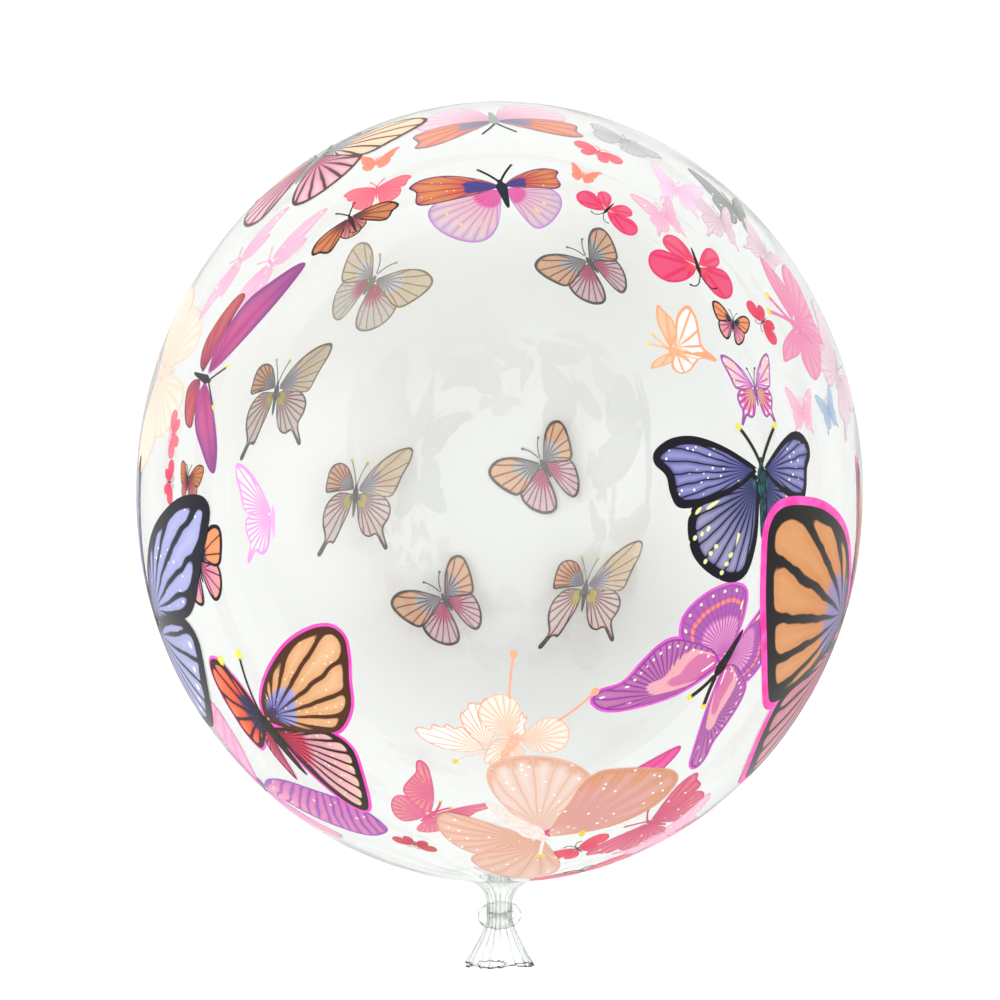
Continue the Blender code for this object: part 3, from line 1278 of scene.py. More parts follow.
@dataclass
class Butterfly:
    """One printed butterfly, placed by where the picture shows the middle of its body."""

    name: str
    form: Form
    inks: Palette
    seen_at: tuple[float, float]  # in the picture, in pixels
    span: float  # in mm, tip to tip if both sides were spread flat
    turn: float = 0.0  # of the head from up, anticlockwise, in degrees, were the film peeled flat
    side: Side = Side.NEAR
    left: Pose | None = Pose()  # nothing where the wings on this side are hidden
    right: Pose | None = Pose()
    layer: int = 0  # a higher one is printed over a lower one
    feelers: bool = True

    def sheet(self) -> InkSheet:
        """Returns the butterfly drawn flat."""
        sheet = InkSheet.blank(self.span / 2 * MM)
        for sign, pose in ((-1.0, self.left), (1.0, self.right)):
            if pose is None:
                continue
            form = pose.form or self.form
            mirror = Matrix.Diagonal((sign, 1.0, 1.0))
            place = mirror @ Matrix.Rotation(math.radians(pose.raise_by), 3, "Z")
            place = place @ Matrix.Diagonal((pose.spread, 1.0, 1.0))
            hind, fore = pose.hind or self.inks.hind, pose.fore or self.inks.fore
            for wing, thickness, ink, size in (
                (form.hind, HIND_INK, hind, pose.hind_size),
                (form.fore, FORE_INK, fore, 1.0),
            ):
                cells = sheet.cells_of(wing)
                sheet.add(wing, cells, thickness, ink, place * size)
                if self.inks.halo:
                    edging = replace(wing, grow=self.inks.halo_width)
                    sheet.add(edging, cells, HALO_INK, self.inks.halo, place * size)
            if self.feelers:
                sheet.add(self.form.feeler, FEELER_CELLS, BODY_INK, self.inks.feelers, mirror)
        sheet.add(self.form.body, BODY_CELLS, BODY_INK, self.inks.body, Matrix.Identity(3))
        return sheet

    def lay(self, sheet: InkSheet, film: Film, studio: "Studio") -> None:
        """Bends the flat sheet onto the film, so that lengths from its middle stay true.

        Args:
            sheet: the butterfly drawn flat. It is changed.
            film: what it is laid on.
            studio: tells where the picture's pixels meet the film.
        """
        middle = studio.film_direction(self.seen_at, self.side)
        turn = math.radians(self.turn)
        facing = Vector((0.0, 0.0, 1.0 if self.side is Side.NEAR else -1.0))
        peel = facing.rotation_difference(middle)
        head = peel @ Vector((-math.sin(turn), math.cos(turn), 0.0))
        across = peel @ Vector((math.cos(turn), math.sin(turn), 0.0))
        base = FIRST_LAYER + self.layer * LAYER_STEP
        for vert in sheet.shape.verts:
            flat = (across * vert.co.x + head * vert.co.y) * sheet.half_span / film.half_width
            angle = flat.length
            direction = middle
            if angle > 0:
                direction = middle * math.cos(angle) + flat * (math.sin(angle) / angle)
            lift = base + vert.co.z
            vert.co = film.settle(film.on_bubble(direction)) + film.outward(direction) * lift

    def build(self, film: Film, studio: "Studio") -> bpy.types.Object:
        """Returns the butterfly as a piece of its own.

        Args:
            film: what it is printed on.
            studio: tells where the picture's pixels meet the film.

        Returns:
            The piece.
        """
        sheet = self.sheet()
        self.lay(sheet, film, studio)
        bmesh.ops.recalc_face_normals(sheet.shape, faces=sheet.shape.faces)
        materials = [ink.make() for ink in sheet.inks]
        piece = new_object("print_" + self.name, sheet.shape, materials)
        piece.data.set_sharp_from_angle(angle=HARD_EDGE)
        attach(piece, BODY)
        return piece


# The inks
MUTED_BODY = BodyInk("grey_green_body", "#3C3834", "#8E8C7C")
MUTED_FEELERS = FeelerInk("grey_green_feelers", "#8F9582", "#D3D45E")
BLACK_BODY = BodyInk("black_body")
BLACK_FEELERS = FeelerInk("black_feelers")
YELLOW_TIPPED = FeelerInk("yellow_tipped_feelers", "#2A241C", "#E6DC4E")

MUTED_MONARCH = Palette(
    fore=WingInk(
        "muted_orange_cells",
        ((0.0, "#898084"), (0.16, "#A39AA8"), (0.50, "#BBB1BA"), (0.56, "#F2994C"), (1.0, "#F4A65C")),
        line="#1C100C", veins=24, vein=0.9, margin=5.0, glow="#F6EDE2", glow_share=0.34, glow_reach=2.4,
    ),
    hind=WingInk(
        "muted_pink_cells",
        ((0.0, "#A03A64"), (0.12, "#F42A7C"), (0.44, "#F0508F"), (0.54, "#E298B0"), (1.0, "#E8A8BA")),
        line="#1E1012", veins=28, vein=0.8, margin=5.0, glow_share=0.36, glow_reach=2.2,
    ),
    body=BodyInk("dusky_body", "#1E1A18", "#5A544C"),
    feelers=FeelerInk("dusky_feelers", "#2A2622", "#5A544C"),
)
PALE_MONARCH = Palette(
    fore=WingInk(
        "pale_tan_cells",
        ((0.0, "#ADABA8"), (0.16, "#D5D5E7"), (0.50, "#ECEAF8"), (0.56, "#FFD499"), (1.0, "#FFDFB0")),
        line="#A58F6C", veins=24, vein=0.65, margin=3.2, glow_share=0.50, glow_reach=1.8,
        flecks="#EADB6A", fleck_spacing=3 * MM,
    ),
    hind=WingInk(
        "pale_pink_cells",
        ((0.0, "#B07A8C"), (0.12, "#F04E96"), (0.44, "#F07CB0"), (0.54, "#F4DEDE"), (1.0, "#F4E2D6")),
        line="#AC9C7E", veins=28, vein=0.5, margin=2.8, glow_share=0.60, glow_reach=1.8, flecks="#EADB6A",
        fleck_spacing=3 * MM,
    ),
    body=BodyInk("sand_body", "#9C9880", "#C6C2A6"), feelers=MUTED_FEELERS,
)
MUTED_SWALLOWTAIL = Palette(
    fore=WingInk(
        "muted_tan_cells",
        ((0.0, "#6A6367"), (0.12, "#87889F"), (0.44, "#ADADC0"), (0.50, "#DC8446"), (1.0, "#E49A60")),
        line="#32201A", veins=30, vein=0.7, margin=3.0, glow="#F6E1C7", glow_share=0.34, glow_reach=2.0,
    ),
    hind=WingInk(
        "muted_mauve_cells", ((0.0, "#77696D"), (0.20, "#A4818D"), (0.34, "#DDA4AA"), (1.0, "#E5B6AF")),
        line="#3A242C", veins=30, vein=0.7, margin=3.0, glow="#F9F9F3", glow_share=0.55, glow_reach=2.0,
        band="#EADB3C", band_reach=(0.12, 0.30),
    ),
    body=MUTED_BODY, feelers=MUTED_FEELERS,
)
MUTED_CREAM = replace(
    MUTED_SWALLOWTAIL.fore, name="muted_cream_cells",
    ground=((0.0, "#6E6A72"), (0.12, "#8C92B0"), (0.40, "#B4B9D4"), (0.48, "#EACBAA"), (1.0, "#F4E2CC")),
    line="#86705E",
)
BLUE_MORPHO = Palette(
    fore=WingInk(
        "violet_blue_cells",
        ((0.0, "#5FA6A6"), (0.10, "#4A5697"), (0.5, "#7F7EB9"), (0.8, "#7776B3"), (1.0, "#6664A4")),
        line="#15121C", veins=50, vein=0.6, margin=6.5, glow="#A5A3D0", glow_share=0.5, glow_reach=3.0,
        flecks="#F1EEF4", fleck_spacing=3.5 * MM, fleck_size=0.14,
    ),
    hind=WingInk(
        "violet_blue_fan",
        ((0.0, "#62AC9B"), (0.14, "#414B7F"), (0.5, "#7070A1"), (0.8, "#8483AE"), (1.0, "#6A6899")),
        line="#15121C", veins=38, vein=0.7, margin=7.5, glow="#ABA9C3", glow_share=0.5, glow_reach=3.0,
        dots="#EDEBA0", dot_count=22, dot_size=1.8, dot_rows=(12.0, 3.4), dot_depth=22.0, dot_from=-0.035,
    ),
    body=BodyInk("black_and_teal_body", "#14141C", "#3D8C94"), feelers=YELLOW_TIPPED,
)
GRAND_MONARCH = Palette(
    fore=WingInk(
        "orange_cells",
        ((0.0, "#6A6099"), (0.38, "#877EB0"), (0.46, "#D28243"), (0.7, "#D48D50"), (1.0, "#D59665")),
        line="#17120F", veins=21, vein=2.3, margin=5.8, rounding=1.2, glow="#DDA474", glow_share=0.4,
        streak_share=0.12,
    ),
    hind=WingInk(
        "pink_streaks", ((0.0, "#A62D50"), (0.4, "#CC6E85"), (1.0, "#CF8592")), line="#1B1513", veins=26,
        vein=1.5, margin=6.0, rounding=0.8, glow="#D29CA2", glow_share=0.4,
    ),
    body=BLACK_BODY, feelers=YELLOW_TIPPED, halo=HaloInk("hot_pink_edging", "#F0339F", "#F25CC0"),
    halo_width=4.0,
)
ORANGE_MONARCH = Palette(
    fore=WingInk(
        "peach_orange_cells",
        (
            (0.0, "#14141D"), (0.16, "#393D79"), (0.20, "#6C71B9"), (0.38, "#979CD2"), (0.42, "#D69C68"),
            (1.0, "#DAA67B"),
        ),
        line="#4A2A1C", veins=26, vein=1.5, margin=4.5, rounding=1.5, glow="#E7C6A1", glow_share=0.4,
        streak_share=0.15, flecks="#F8EBC0", fleck_spacing=3 * MM, fleck_size=0.12,
    ),
    hind=WingInk(
        "pink_cream_cells",
        (
            (0.0, "#141218"), (0.10, "#BD1F49"), (0.40, "#D8395F"), (0.50, "#DF97A9"), (0.85, "#E7B1B1"),
            (1.0, "#E5CBA3"),
        ),
        line="#2B1A18", veins=34, vein=1.1, margin=5.0, rounding=0.9, glow="#EFBFC2", glow_share=0.4,
        flecks="#F4E28C", fleck_spacing=3.5 * MM, fleck_size=0.14,
    ),
    body=BLACK_BODY, feelers=YELLOW_TIPPED, halo=HaloInk("magenta_edging", "#E83FB0", "#F25CC0"),
    halo_width=2.2,
)
RED_ORANGE = replace(
    ORANGE_MONARCH.fore, name="red_orange_and_navy",
    ground=(
        (0.0, "#15131A"), (0.16, "#20224C"), (0.42, "#2E2C60"), (0.50, "#D83A2C"), (0.75, "#EA5A34"),
        (1.0, "#E8784A"),
    ),
    line="#2A1418", glow="#F0855A", flecks="",
)
CRIMSON_STREAKS = replace(
    ORANGE_MONARCH.hind, name="crimson_streaks",
    ground=((0.0, "#15131A"), (0.15, "#B81848"), (1.0, "#DE5A7C")), flecks="",
)
MAGENTA = Palette(
    fore=WingInk(
        "magenta_and_lilac",
        (
            (0.0, "#CA5999"), (0.42, "#D05E9D"), (0.45, "#EEACB1"), (0.60, "#ECAAB0"), (0.63, "#B66BA0"),
            (1.0, "#B873A4"),
        ),
        line="#8E3F9C", veins=44, vein=0.8, margin=1.8, glow="#E1AAB8", streak_share=0.15,
        vein_start=0.60, dots="#FBEFF6", dot_count=30, dot_size=1.2, dot_rows=(6.0, 50.0), dot_depth=14.0,
    ),
    hind=WingInk(
        "magenta_fan",
        ((0.0, "#CE5CA6"), (0.24, "#E592C2"), (0.54, "#E89CC6"), (0.60, "#A85AA8"), (1.0, "#AC5CAC")),
        line="#9A4DA6", veins=46, vein=0.5, margin=1.8, glow="#D392AE", streak_share=0.15, band="#FF8A6C",
        band_reach=(0.74, 0.80), dots="#F9E9C8", dot_count=24, dot_size=1.4, dot_rows=(4.5, 50.0),
        dot_depth=12.0,
    ),
    body=BLACK_BODY, feelers=YELLOW_TIPPED, halo=HaloInk("orchid_edging", "#D44FC0", "#E06CCB"),
    halo_width=2.4,
)
LONG_MAGENTA = Palette(
    fore=WingInk(
        "orchid_wash",
        ((0.0, "#873B73"), (0.25, "#B44A79"), (0.60, "#B65184"), (0.80, "#954F86"), (1.0, "#85487B")),
        line="#8A3F8C", veins=16, vein=0.25, margin=0.9, glow="#CD6D94", glow_share=0.3,
        streak_share=0.35,
    ),
    hind=WingInk(
        "rose_red_wash", ((0.0, "#AB497A"), (0.5, "#B85362"), (1.0, "#BA5957")), line="#6A3040", veins=18,
        vein=0.25, margin=1.3, glow="#D1767A", glow_share=0.3, streak_share=0.35,
    ),
    body=BodyInk("slate_body", "#2E2B30", "#54505A"), feelers=YELLOW_TIPPED,
)
STRIPED_PURPLE = Palette(
    fore=WingInk(
        "pink_to_striped_purple",
        ((0.0, "#E689A8"), (0.40, "#DA79A2"), (0.50, "#CB6EA2"), (1.0, "#C16AA4")), line="#8E46A4",
        veins=84, vein=1.0, margin=1.6, glow="#DDC8CF", glow_share=0.45, streak_share=0.2,
        flecks="#F7D9B8", fleck_spacing=6 * MM, fleck_size=0.12,
    ),
    hind=WingInk(
        "coral_pink_wash", ((0.0, "#E77CC4"), (0.5, "#EE8FB4"), (1.0, "#F09AB0")), line="#C25CA8",
        veins=30, vein=0.3, margin=1.0, glow="#F6BCD6", glow_share=0.4, streak_share=0.2,
    ),
    body=BodyInk("plum_body", "#6A3A78", "#9A62A8"), feelers=BLACK_FEELERS,
)
PERIWINKLE = Palette(
    fore=WingInk(
        "periwinkle_cells", ((0.0, "#7D7FBA"), (0.4, "#999DCF"), (1.0, "#A6A8D7")), line="#0E0E1C",
        veins=30, vein=1.4, margin=6.0, rounding=1.0, glow="#BDBFE2", glow_share=0.5, streak_share=0.1,
        flecks="#FFFFFF", fleck_spacing=5 * MM, fleck_size=0.11,
    ),
    hind=WingInk(
        "periwinkle_fan", ((0.0, "#797DB1"), (0.4, "#9599C5"), (1.0, "#A1A5CD")), line="#0E0E1C",
        veins=22, vein=1.2, glow="#B7BBD8", glow_share=0.5, streak_share=0.1, dots="#F5F5FA",
        dot_count=22, dot_size=1.4, dot_rows=(10.0, 50.0), dot_depth=14.0,
    ),
    body=BLACK_BODY, feelers=BLACK_FEELERS,
)
SUNSET = Palette(
    fore=WingInk(
        "navy_and_orange",
        ((0.0, "#2D397C"), (0.40, "#323F88"), (0.43, "#D45736"), (0.8, "#D78143"), (1.0, "#D06C45")),
        line="#5A3470", veins=34, vein=0.5, margin=1.9, glow="#DA9D6B", glow_share=0.3, flecks="#F6E2B8",
        fleck_spacing=3 * MM, fleck_size=0.09,
    ),
    hind=WingInk(
        "rose_and_lilac",
        ((0.0, "#E4286E"), (0.34, "#E23678"), (0.40, "#D9ABAE"), (0.75, "#D4B3B7"), (1.0, "#BDA9BD")),
        line="#B47FBE", veins=34, vein=0.6, margin=2.0, glow="#DCD8C7", glow_share=0.4, dots="#E9CF7A",
        dot_count=17, dot_size=1.8, dot_rows=(20.0, 50.0), dot_depth=26.0,
    ),
    body=BodyInk("navy_body", "#161B26", "#2C3646"), feelers=BLACK_FEELERS,
)
FADED_SUNSET = Palette(
    fore=WingInk(
        "faded_orange",
        ((0.0, "#8088A8"), (0.40, "#8C93B0"), (0.45, "#E88C6C"), (0.8, "#E9906E"), (1.0, "#D98A84")),
        line="#8A7484", veins=30, vein=0.4, margin=1.6, glow="#F0B49C", glow_share=0.4,
    ),
    hind=WingInk(
        "faded_rose", ((0.0, "#E2A4BC"), (0.5, "#EBC0CE"), (1.0, "#E8C8D2")), line="#D2AEBE", veins=30,
        vein=0.4, margin=1.2, glow="#F2DCE2", glow_share=0.5,
    ),
    body=BodyInk("ash_body", "#9AA09C", "#B8BCB8"),
    feelers=FeelerInk("charcoal_feelers", "#4A4A4A", "#4A4A4A"),
)
RIM_MONARCH = Palette(
    fore=WingInk(
        "cream_cells", ((0.0, "#9C9CA4"), (0.30, "#B9BAC8"), (0.36, "#F2CDAA"), (1.0, "#F2CBA4")),
        line="#4A302A", veins=22, vein=1.5, margin=3.4, glow="#F7E0C8", glow_share=0.5, streak_share=0.15,
    ),
    hind=WingInk(
        "rose_cream_cells", ((0.0, "#98505E"), (0.20, "#D6608C"), (0.42, "#DE86A6"), (1.0, "#E4A8B0")),
        line="#4A2C2C", veins=26, vein=1.6, margin=3.4, glow="#F7DAE0", glow_share=0.5, streak_share=0.15,
    ),
    body=BodyInk("sage_body", "#7E8478", "#A6AC9E"),
    feelers=FeelerInk("sage_feelers", "#8E9488", "#8E9488"),
)
BROWN_MONARCH = Palette(
    fore=WingInk(
        "copper_cells", ((0.0, "#331A2A"), (0.30, "#964D48"), (0.5, "#C27046"), (1.0, "#C5774F")),
        line="#33201A", veins=24, vein=0.9, margin=4.0, glow="#D08D65", glow_share=0.35,
    ),
    hind=WingInk(
        "plum_copper_cells", ((0.0, "#521B33"), (0.25, "#A83A63"), (0.6, "#BE6B70"), (1.0, "#C68972")),
        line="#33201A", veins=26, vein=0.9, margin=4.0, glow="#CF8F8E", glow_share=0.3,
    ),
    body=BodyInk("umber_body", "#2A1A20", "#5A3A40"), feelers=BLACK_FEELERS,
)
SMALL_MONARCH = Palette(
    fore=WingInk(
        "slate_to_orange", ((0.0, "#2A2C3E"), (0.30, "#3E4258"), (0.42, "#E58A5A"), (1.0, "#E89060")),
        line="#15121A", vein=1.2, glow="#F2A878", glow_share=0.3,
    ),
    hind=WingInk(
        "pink_to_orange", ((0.0, "#2A2C3E"), (0.2, "#C8608A"), (0.6, "#DC86A4"), (1.0, "#E59A7A")),
        line="#15121A", vein=1.2, glow="#F0A8C0", glow_share=0.3,
    ),
    body=BodyInk("blue_black_body", "#1A2230", "#33405A"), feelers=BLACK_FEELERS,
)
LILAC_LACE = Palette(
    fore=WingInk(
        "lilac_and_peach_cells",
        ((0.0, "#C43F8E"), (0.25, "#F2A0C8"), (0.5, "#F3B6D6"), (0.75, "#F4C4A0"), (1.0, "#EFA8CC")),
        line="#9A55A8", veins=18, vein=1.6, margin=4.5, glow="#FBD8E8", glow_share=0.4, dots="#FDF6F2",
        dot_count=26, dot_size=2.2, dot_rows=(9.0, 50.0), dot_depth=16.0,
    ),
    hind=WingInk(
        "peach_and_rose_cells",
        ((0.0, "#C43F8E"), (0.2, "#F6C070"), (0.5, "#F2A45E"), (0.62, "#E25A8C"), (1.0, "#D884C0")),
        line="#8E4CA0", veins=20, vein=1.6, margin=4.5, glow="#F8C4DC", glow_share=0.4, dots="#FDF0E4",
        dot_count=20, dot_size=3.0, dot_rows=(10.0, 50.0), dot_depth=16.0,
    ),
    body=BodyInk("violet_body", "#7A4AA0", "#B070C0"),
    feelers=FeelerInk("plum_feelers", "#5A4A68", "#5A4A68"),
)
CHERRY_HEART = Palette(
    fore=WingInk(
        "cherry", ((0.0, "#E46C5C"), (0.3, "#D7315C"), (0.8, "#DC386A"), (1.0, "#D73D6A")),
        line="#E02A5E", veins=10, vein=0.2, margin=1.0, glow="#E46C87", glow_share=0.4, soft=1.5,
    ),
    hind=WingInk(
        "cherry_pale_edge", ((0.0, "#E46F51"), (0.3, "#DC395F"), (1.0, "#D94A71")), line="#E83A6A",
        veins=10, vein=0.2, margin=1.0, glow="#E47D94", glow_share=0.4, soft=1.5,
    ),
    body=BLACK_BODY, feelers=BLACK_FEELERS,
)
PEACH_LACE = Palette(
    fore=WingInk(
        "peach_lace", ((0.0, "#F9E6DA"), (1.0, "#FBF4EF")), line="#EDA98C", veins=36, vein=0.8,
        margin=2.2, glow="#FDFAF8", glow_share=0.6, streak_share=0.2,
    ),
    hind=WingInk(
        "peach_lace_fan", ((0.0, "#F9E6DA"), (1.0, "#FBF4EF")), line="#EDA98C", veins=36, vein=0.9,
        margin=2.2, glow="#FDFAF8", glow_share=0.6, streak_share=0.2,
    ),
    body=BodyInk("peach_body", "#F5BFA4", "#F9D6C4"),
    feelers=FeelerInk("peach_yellow_dotted_feelers", "#F5C6AC", "#DCC83C"),
)
PINK_LACE = Palette(
    fore=WingInk(
        "pink_lace", ((0.0, "#E7ABC4"), (1.0, "#E9BBCA")), line="#EE98DA", veins=40, vein=1.2, margin=4.0,
        glow="#F1FBDD", glow_share=0.75, glow_reach=2.0, streak_share=0.6, wobble=1.8,
    ),
    hind=WingInk(
        "pink_lace_fan", ((0.0, "#E7ABC4"), (1.0, "#E9BBCA")), line="#EE98DA", veins=34, margin=4.0,
        glow="#F1FBDD", glow_share=0.75, glow_reach=2.0, streak_share=0.6, wobble=1.8,
    ),
    body=BodyInk("pink_body", "#F2A2E0", "#F8C8EE"),
    feelers=FeelerInk("pink_feelers", "#F2A2E0", "#F2A2E0"),
)
PEACH_OUTLINE = Palette(
    fore=WingInk(
        "peach_fill", ((0.0, "#F5AE84"), (1.0, "#F7B48E")), line="#F09A6E", veins=8, vein=0.8, margin=3.0,
        glow="#FAD0B4", glow_share=0.4,
    ),
    hind=WingInk(
        "peach_open_cells", ((0.0, "#F6BC9A"), (0.3, "#F9E8DE"), (1.0, "#FAF2EC")), line="#F2A47C",
        vein=2.4, margin=6.5, glow="#FDF8F4", glow_share=0.6,
    ),
    body=BodyInk("apricot_body", "#F2A47C", "#F8C4A6"),
    feelers=FeelerInk("apricot_feelers", "#F6BE98", "#F0D890"),
)


def plain(
    name: str, wash: str, pale: str, line: str, body: str = "", tip: str = "", flecks: str = ""
) -> Palette:
    """Returns the inks of a butterfly that is drawn in tones of one colour.

    Args:
        name: what the colour is called.
        wash: the wings' colour.
        pale: the middles of their cells.
        line: their faint veins and margins.
        body: the body, if it is not in the colour of the veins.
        tip: the ends of the antennae, if they have a colour of their own.
        flecks: the small specks on the wings, if there are any.

    Returns:
        The palette.
    """
    wing = WingInk(
        name, ((0.0, line), (0.22, wash), (1.0, wash)), line=line, veins=26, vein=0.7, margin=1.6,
        glow=pale, glow_share=0.45, streak_share=0.25, flecks=flecks, fleck_spacing=5 * MM,
        fleck_size=0.11,
    )
    feeler = body or line
    return Palette(
        fore=wing,
        hind=wing,
        body=BodyInk(name + "_body", body or line, wash),
        feelers=FeelerInk(name + "_feelers", feeler, tip or feeler),
    )


PEACH = plain("peach", "#DBAE99", "#E4C9BC", "#D49A82", "#EAE1DB", tip="#DCCB36", flecks="#FFFAF6")
PEACH_ROSE = replace(
    PEACH.fore, name="peach_rose_wash",
    ground=((0.0, "#DEBEB1"), (0.25, "#D29494"), (0.72, "#D4978E"), (0.85, "#D2906C"), (1.0, "#CF8C68")),
    glow="#DBAFAF",
)
PEACH_BLEACHED = replace(
    PEACH.fore, name="bleached_peach_wash",
    ground=((0.0, "#DEB9A6"), (0.45, "#E0C8BB"), (0.86, "#DFC5B7"), (0.92, "#D9A790"), (1.0, "#D69E85")),
    line="#DDB19D", glow="#E9DED8",
)
PLAIN_PEACH = plain("pale_peach", "#F8DACA", "#FDF4EE", "#EFA98C")
PEACH_HAZE = plain("peach_haze", "#FBD2C0", "#FDE6DC", "#F9C6B2")
FLAT_PINK = plain("flat_pink", "#E38EAE", "#E7B0C1", "#DF7AA3", tip="#E6DC4E")
HOT_PINK = plain("hot_pink", "#D5798E", "#DCBB7B", "#D14D80", tip="#D8CC3A", flecks="#F2A04E")
MAGENTA_PINK = plain("magenta_pink", "#E35697", "#EA8AAE", "#CF3F89", flecks="#FFFAF6")
PINK_RED = plain("pink_red", "#D35878", "#DF888B", "#C53E69", flecks="#FFFAF6")
PALE_PINK = plain("pale_pink", "#EDB5CB", "#F1D2DA", "#E89DBB", flecks="#FFFAF6")
PALE_PINK_HAZE = plain("pale_pink_haze", "#F7CCE2", "#FBE2EE", "#F2B4D2", tip="#E8D88A")
CORAL_RED = plain("coral_red", "#EC7080", "#F08A92", "#E25A70")
CORAL = plain("coral", "#F58C74", "#F8A894", "#F07A64")
CRIMSON = plain("crimson", "#E2405E", "#EE6C80", "#C8304E", "#2A1C20")
DARK_RED = plain("dark_red", "#CE3C4C", "#E06470", "#9A2A38")
STORM = plain("storm_grey", "#9C9C9A", "#B4B2B0", "#7E7E7C", flecks="#FFFAF6")
ASH = plain("ash_grey", "#C2C4C4", "#D6D6D6", "#A8AAAA")
ROSE_ASH = plain("rose_ash", "#E0C6D0", "#ECDAE0", "#CCAEBA")
BLUE_ASH = plain("blue_ash", "#A8BCD2", "#C2D0E0", "#8AA2BE")

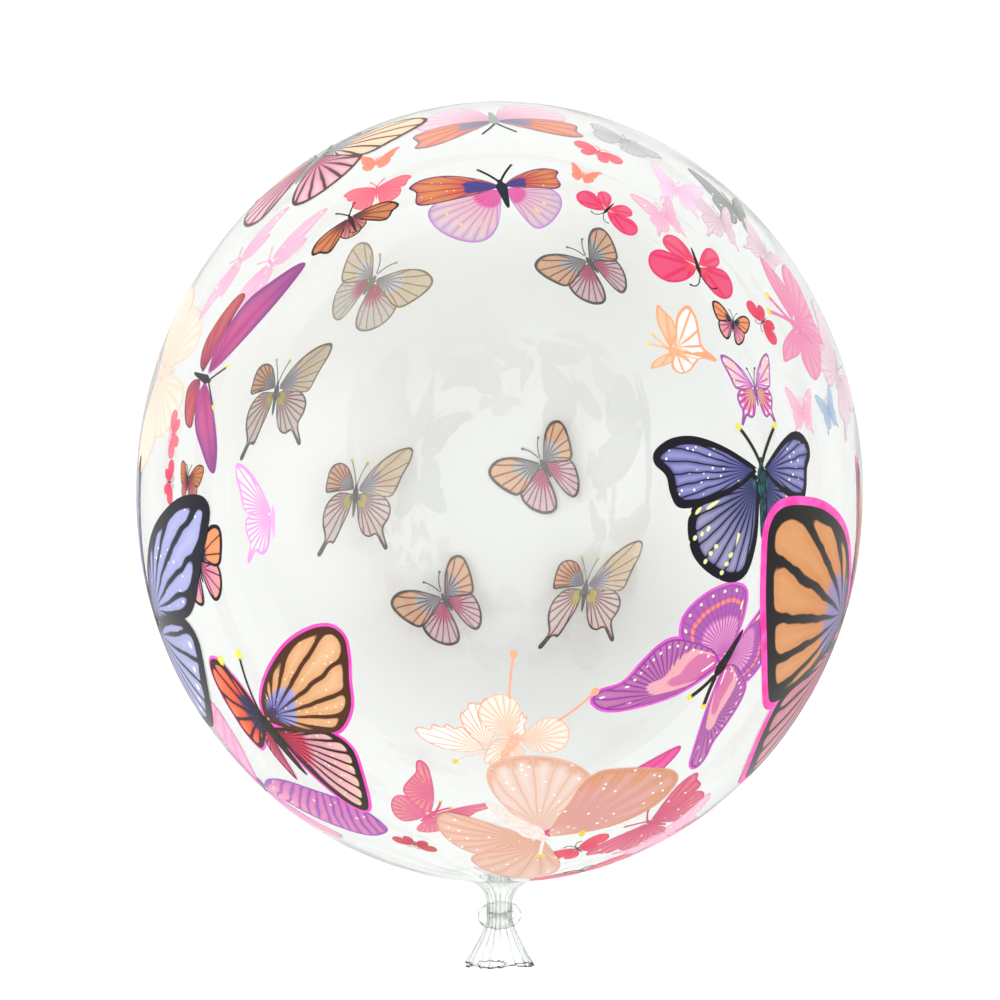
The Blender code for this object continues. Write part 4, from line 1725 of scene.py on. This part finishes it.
# The print
PRINT = (
    Butterfly(
        "pale_monarch", SHORT_BODIED, PALE_MONARCH, (371.7, 281.5), 62, -30, Side.FAR, left=Pose(0.74),
    ),
    *(
        Butterfly(
            f"muted_monarch_{count}", SHORT_BODIED, MUTED_MONARCH, place, 55, 33, Side.FAR,
            right=Pose(0.74),
        )
        for count, place in enumerate(((590, 262), (543.7, 465.1), (445, 599)), 1)
    ),
    *(
        Butterfly(
            f"muted_swallowtail_{count}", SWALLOWTAIL, MUTED_SWALLOWTAIL, place, 60, -8, Side.FAR,
            left=Pose(form=NARROW_SWALLOWTAIL), right=Pose(fore=MUTED_CREAM),
        )
        for count, place in enumerate(((276.3, 390.7), (355.6, 492.6), (585.5, 588.3)), 1)
    ),
    Butterfly("blue_morpho", MORPHO, BLUE_MORPHO, (761.4, 473.8), 110, 3, right=Pose(0.63), layer=1),
    Butterfly(
        "grand_monarch", RAISED, GRAND_MONARCH, (846, 630), 186, 0, right=Pose(0.15, 6), layer=2,
        feelers=False,
    ),
    Butterfly("magenta_pointed", POINTED, MAGENTA, (726.1, 658.6), 96, 147, left=Pose(0.70)),
    Butterfly(
        "orange_monarch", LEANING, ORANGE_MONARCH, (267.9, 724.8), 130, 29,
        left=Pose(0.40, 14, fore=RED_ORANGE, hind=CRIMSON_STREAKS, hind_size=0.55), layer=1,
    ),
    Butterfly(
        "periwinkle", TALL, PERIWINKLE, (157, 622), 190, 0, left=Pose(0.15, 6), layer=2, feelers=False,
    ),
    Butterfly("sunset", BROAD, SUNSET, (502.4, 189.1), 76, 13, right=Pose(form=NARROW_BROAD)),
    Butterfly("faded_sunset", BROAD, FADED_SUNSET, (493.7, 119.9), 76, 190),
    Butterfly("cherry_heart", HEART, CHERRY_HEART, (697.5, 266.2), 52, 186, left=Pose(0.75, 25)),
    Butterfly("cherry_heart_2", HEART, CHERRY_HEART, (607, 210), 33, 141, right=Pose(0.9)),
    Butterfly("small_monarch", MONARCH, SMALL_MONARCH, (732.9, 322.7), 23, -14, right=Pose(0.85)),
    Butterfly("lilac_lace", SWALLOWTAIL, LILAC_LACE, (755, 389), 34, 8, right=Pose(0.85)),
    Butterfly("peach_outline", FOLDED, PEACH_OUTLINE, (673.6, 351.4), 40, 68, left=Pose(0.4, -30)),
    Butterfly("flat_pink", FOLDED, FLAT_PINK, (796.1, 326.5), 66, 72, left=Pose(0.6, -30)),
    Butterfly("small_crimson", HEART, CRIMSON, (762.6, 321.8), 22, 130),
    Butterfly("pale_pink_1", SWALLOWTAIL, PALE_PINK_HAZE, (675.5, 188.7), 34, -15, left=Pose(0.7)),
    Butterfly("pale_pink_2", SWALLOWTAIL, PALE_PINK, (665.9, 215.5), 28, 13, right=Pose(0.6)),
    Butterfly("storm_grey", SWALLOWTAIL, STORM, (734.9, 209.8), 44, -8, right=Pose(0.5)),
    Butterfly("ash_1", SWALLOWTAIL, ROSE_ASH, (722, 222), 36, -6, right=Pose(0.5)),
    Butterfly("ash_2", SWALLOWTAIL, ROSE_ASH, (766, 254), 34, -40, right=Pose(0.6)),
    Butterfly("ash_3", MORPHO, ASH, (625, 140), 36, -35),
    Butterfly("rim_ash", SWALLOWTAIL, ROSE_ASH, (838, 375), 56, -45),
    Butterfly("pale_pink_3", SWALLOWTAIL, PALE_PINK, (801.9, 410.8), 22, 5),
    Butterfly("blue_ash", SWALLOWTAIL, BLUE_ASH, (828.7, 410.8), 21, 22),
    Butterfly("peach_lace", SCALLOPED, PEACH_LACE, (489.4, 748.2), 60, 150, left=Pose(0.5)),
    Butterfly("peach_lobed", LOBED, PLAIN_PEACH, (515.1, 739.3), 42, -29, layer=1),
    Butterfly(
        "big_peach", SPREAD, PEACH, (538.5, 835), 122, -136,
        left=Pose(fore=PEACH_ROSE, hind=PEACH_BLEACHED), right=Pose(0.8, 14, hind_size=0.88), layer=2,
    ),
    Butterfly("under_peach", LONG, MAGENTA_PINK, (548, 827), 122, 6, left=Pose(0.2), layer=1),
    Butterfly("small_pink", POINTED, HOT_PINK, (430.3, 815.2), 52, -42, right=Pose(0.6)),
    Butterfly("pink_red", MORPHO, PINK_RED, (650, 822), 64, 50),
    Butterfly("rim_pink", SWALLOWTAIL, PALE_PINK, (668, 836), 60, -60),
    Butterfly("dark_red", HEART, DARK_RED, (414.6, 844.2), 21, 165),
    Butterfly("crimson_stroke_1", HEART, CRIMSON, (577.6, 848.7), 32, 30),
    Butterfly("crimson_stroke_2", HEART, CRIMSON, (582.1, 871), 50, 22),
    Butterfly("long_magenta", LONG, LONG_MAGENTA, (203, 377.6), 120, -113, right=Pose(0.55), layer=1),
    Butterfly(
        "striped_purple", RIBBED, STRIPED_PURPLE, (262, 785), 140, -22,
        left=Pose(0.5, fore=STRIPED_PURPLE.hind), feelers=False,
    ),
    Butterfly("small_orange", MONARCH, SMALL_MONARCH, (198, 562), 43, 16, feelers=False),
    Butterfly("mini_brown", MONARCH, BROWN_MONARCH, (188, 478.8), 24, -8, left=Pose(0.6)),
    Butterfly("rim_monarch", MONARCH, RIM_MONARCH, (317.1, 160.2), 100, -11, layer=1),
    Butterfly(
        "copper_monarch", MORPHO, BROWN_MONARCH, (350, 218), 44, 28, left=Pose(1.0, -27, hind_size=0.62),
        right=Pose(1.0, -29, hind_size=0.55),
    ),
    Butterfly("coral_red", MORPHO, CORAL_RED, (376.8, 188.3), 31, 8),
    Butterfly("orange_bit", POINTED, CORAL, (376.8, 162.2), 20, 5),
    Butterfly("coral_small", POINTED, CORAL, (583.2, 175.9), 15, -20),
    Butterfly("coral_red_2", HEART, CORAL_RED, (598.2, 152.2), 24, -30),
    Butterfly("pale_pink_4", LONG, PALE_PINK, (240, 260), 56, 48, left=Pose(1, -22), right=Pose(1, -22)),
    Butterfly("pale_pink_5", LONG, PALE_PINK, (271, 263), 60, 45, left=Pose(1, -22), right=Pose(1, -22)),
    Butterfly("peach_haze", MONARCH, PEACH_HAZE, (163, 372), 84, 80),
    Butterfly("crimson_small_1", HEART, CRIMSON, (169.8, 482), 19, -95),
    Butterfly("crimson_small_2", HEART, CORAL_RED, (173.1, 434), 21, 90),
    Butterfly("pink_lace", SWALLOWTAIL, PINK_LACE, (273, 515), 46, 0, right=None, feelers=False),
)


def main() -> None:
    """Builds the balloon's film, its print and the studio."""
    logging.basicConfig(level=logging.INFO, format="%(name)s: %(message)s")
    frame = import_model()
    log.info("frame: %s", ", ".join(frame["nodes"]))
    _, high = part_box("balloon")
    film = Film(half_width=high.x, half_length=high.y, axis_height=high.z - high.x)
    studio = Studio(film)
    piece = film.build()
    log.info("%s: %d faces", piece.name, len(piece.data.polygons))
    for butterfly in PRINT:
        piece = butterfly.build(film, studio)
        log.info("%s: %d faces", piece.name, len(piece.data.polygons))
    studio.place_camera()
    studio.lay_floor()
    studio.light()
    studio.set_camera_response()


if __name__ == "__main__":
    main()
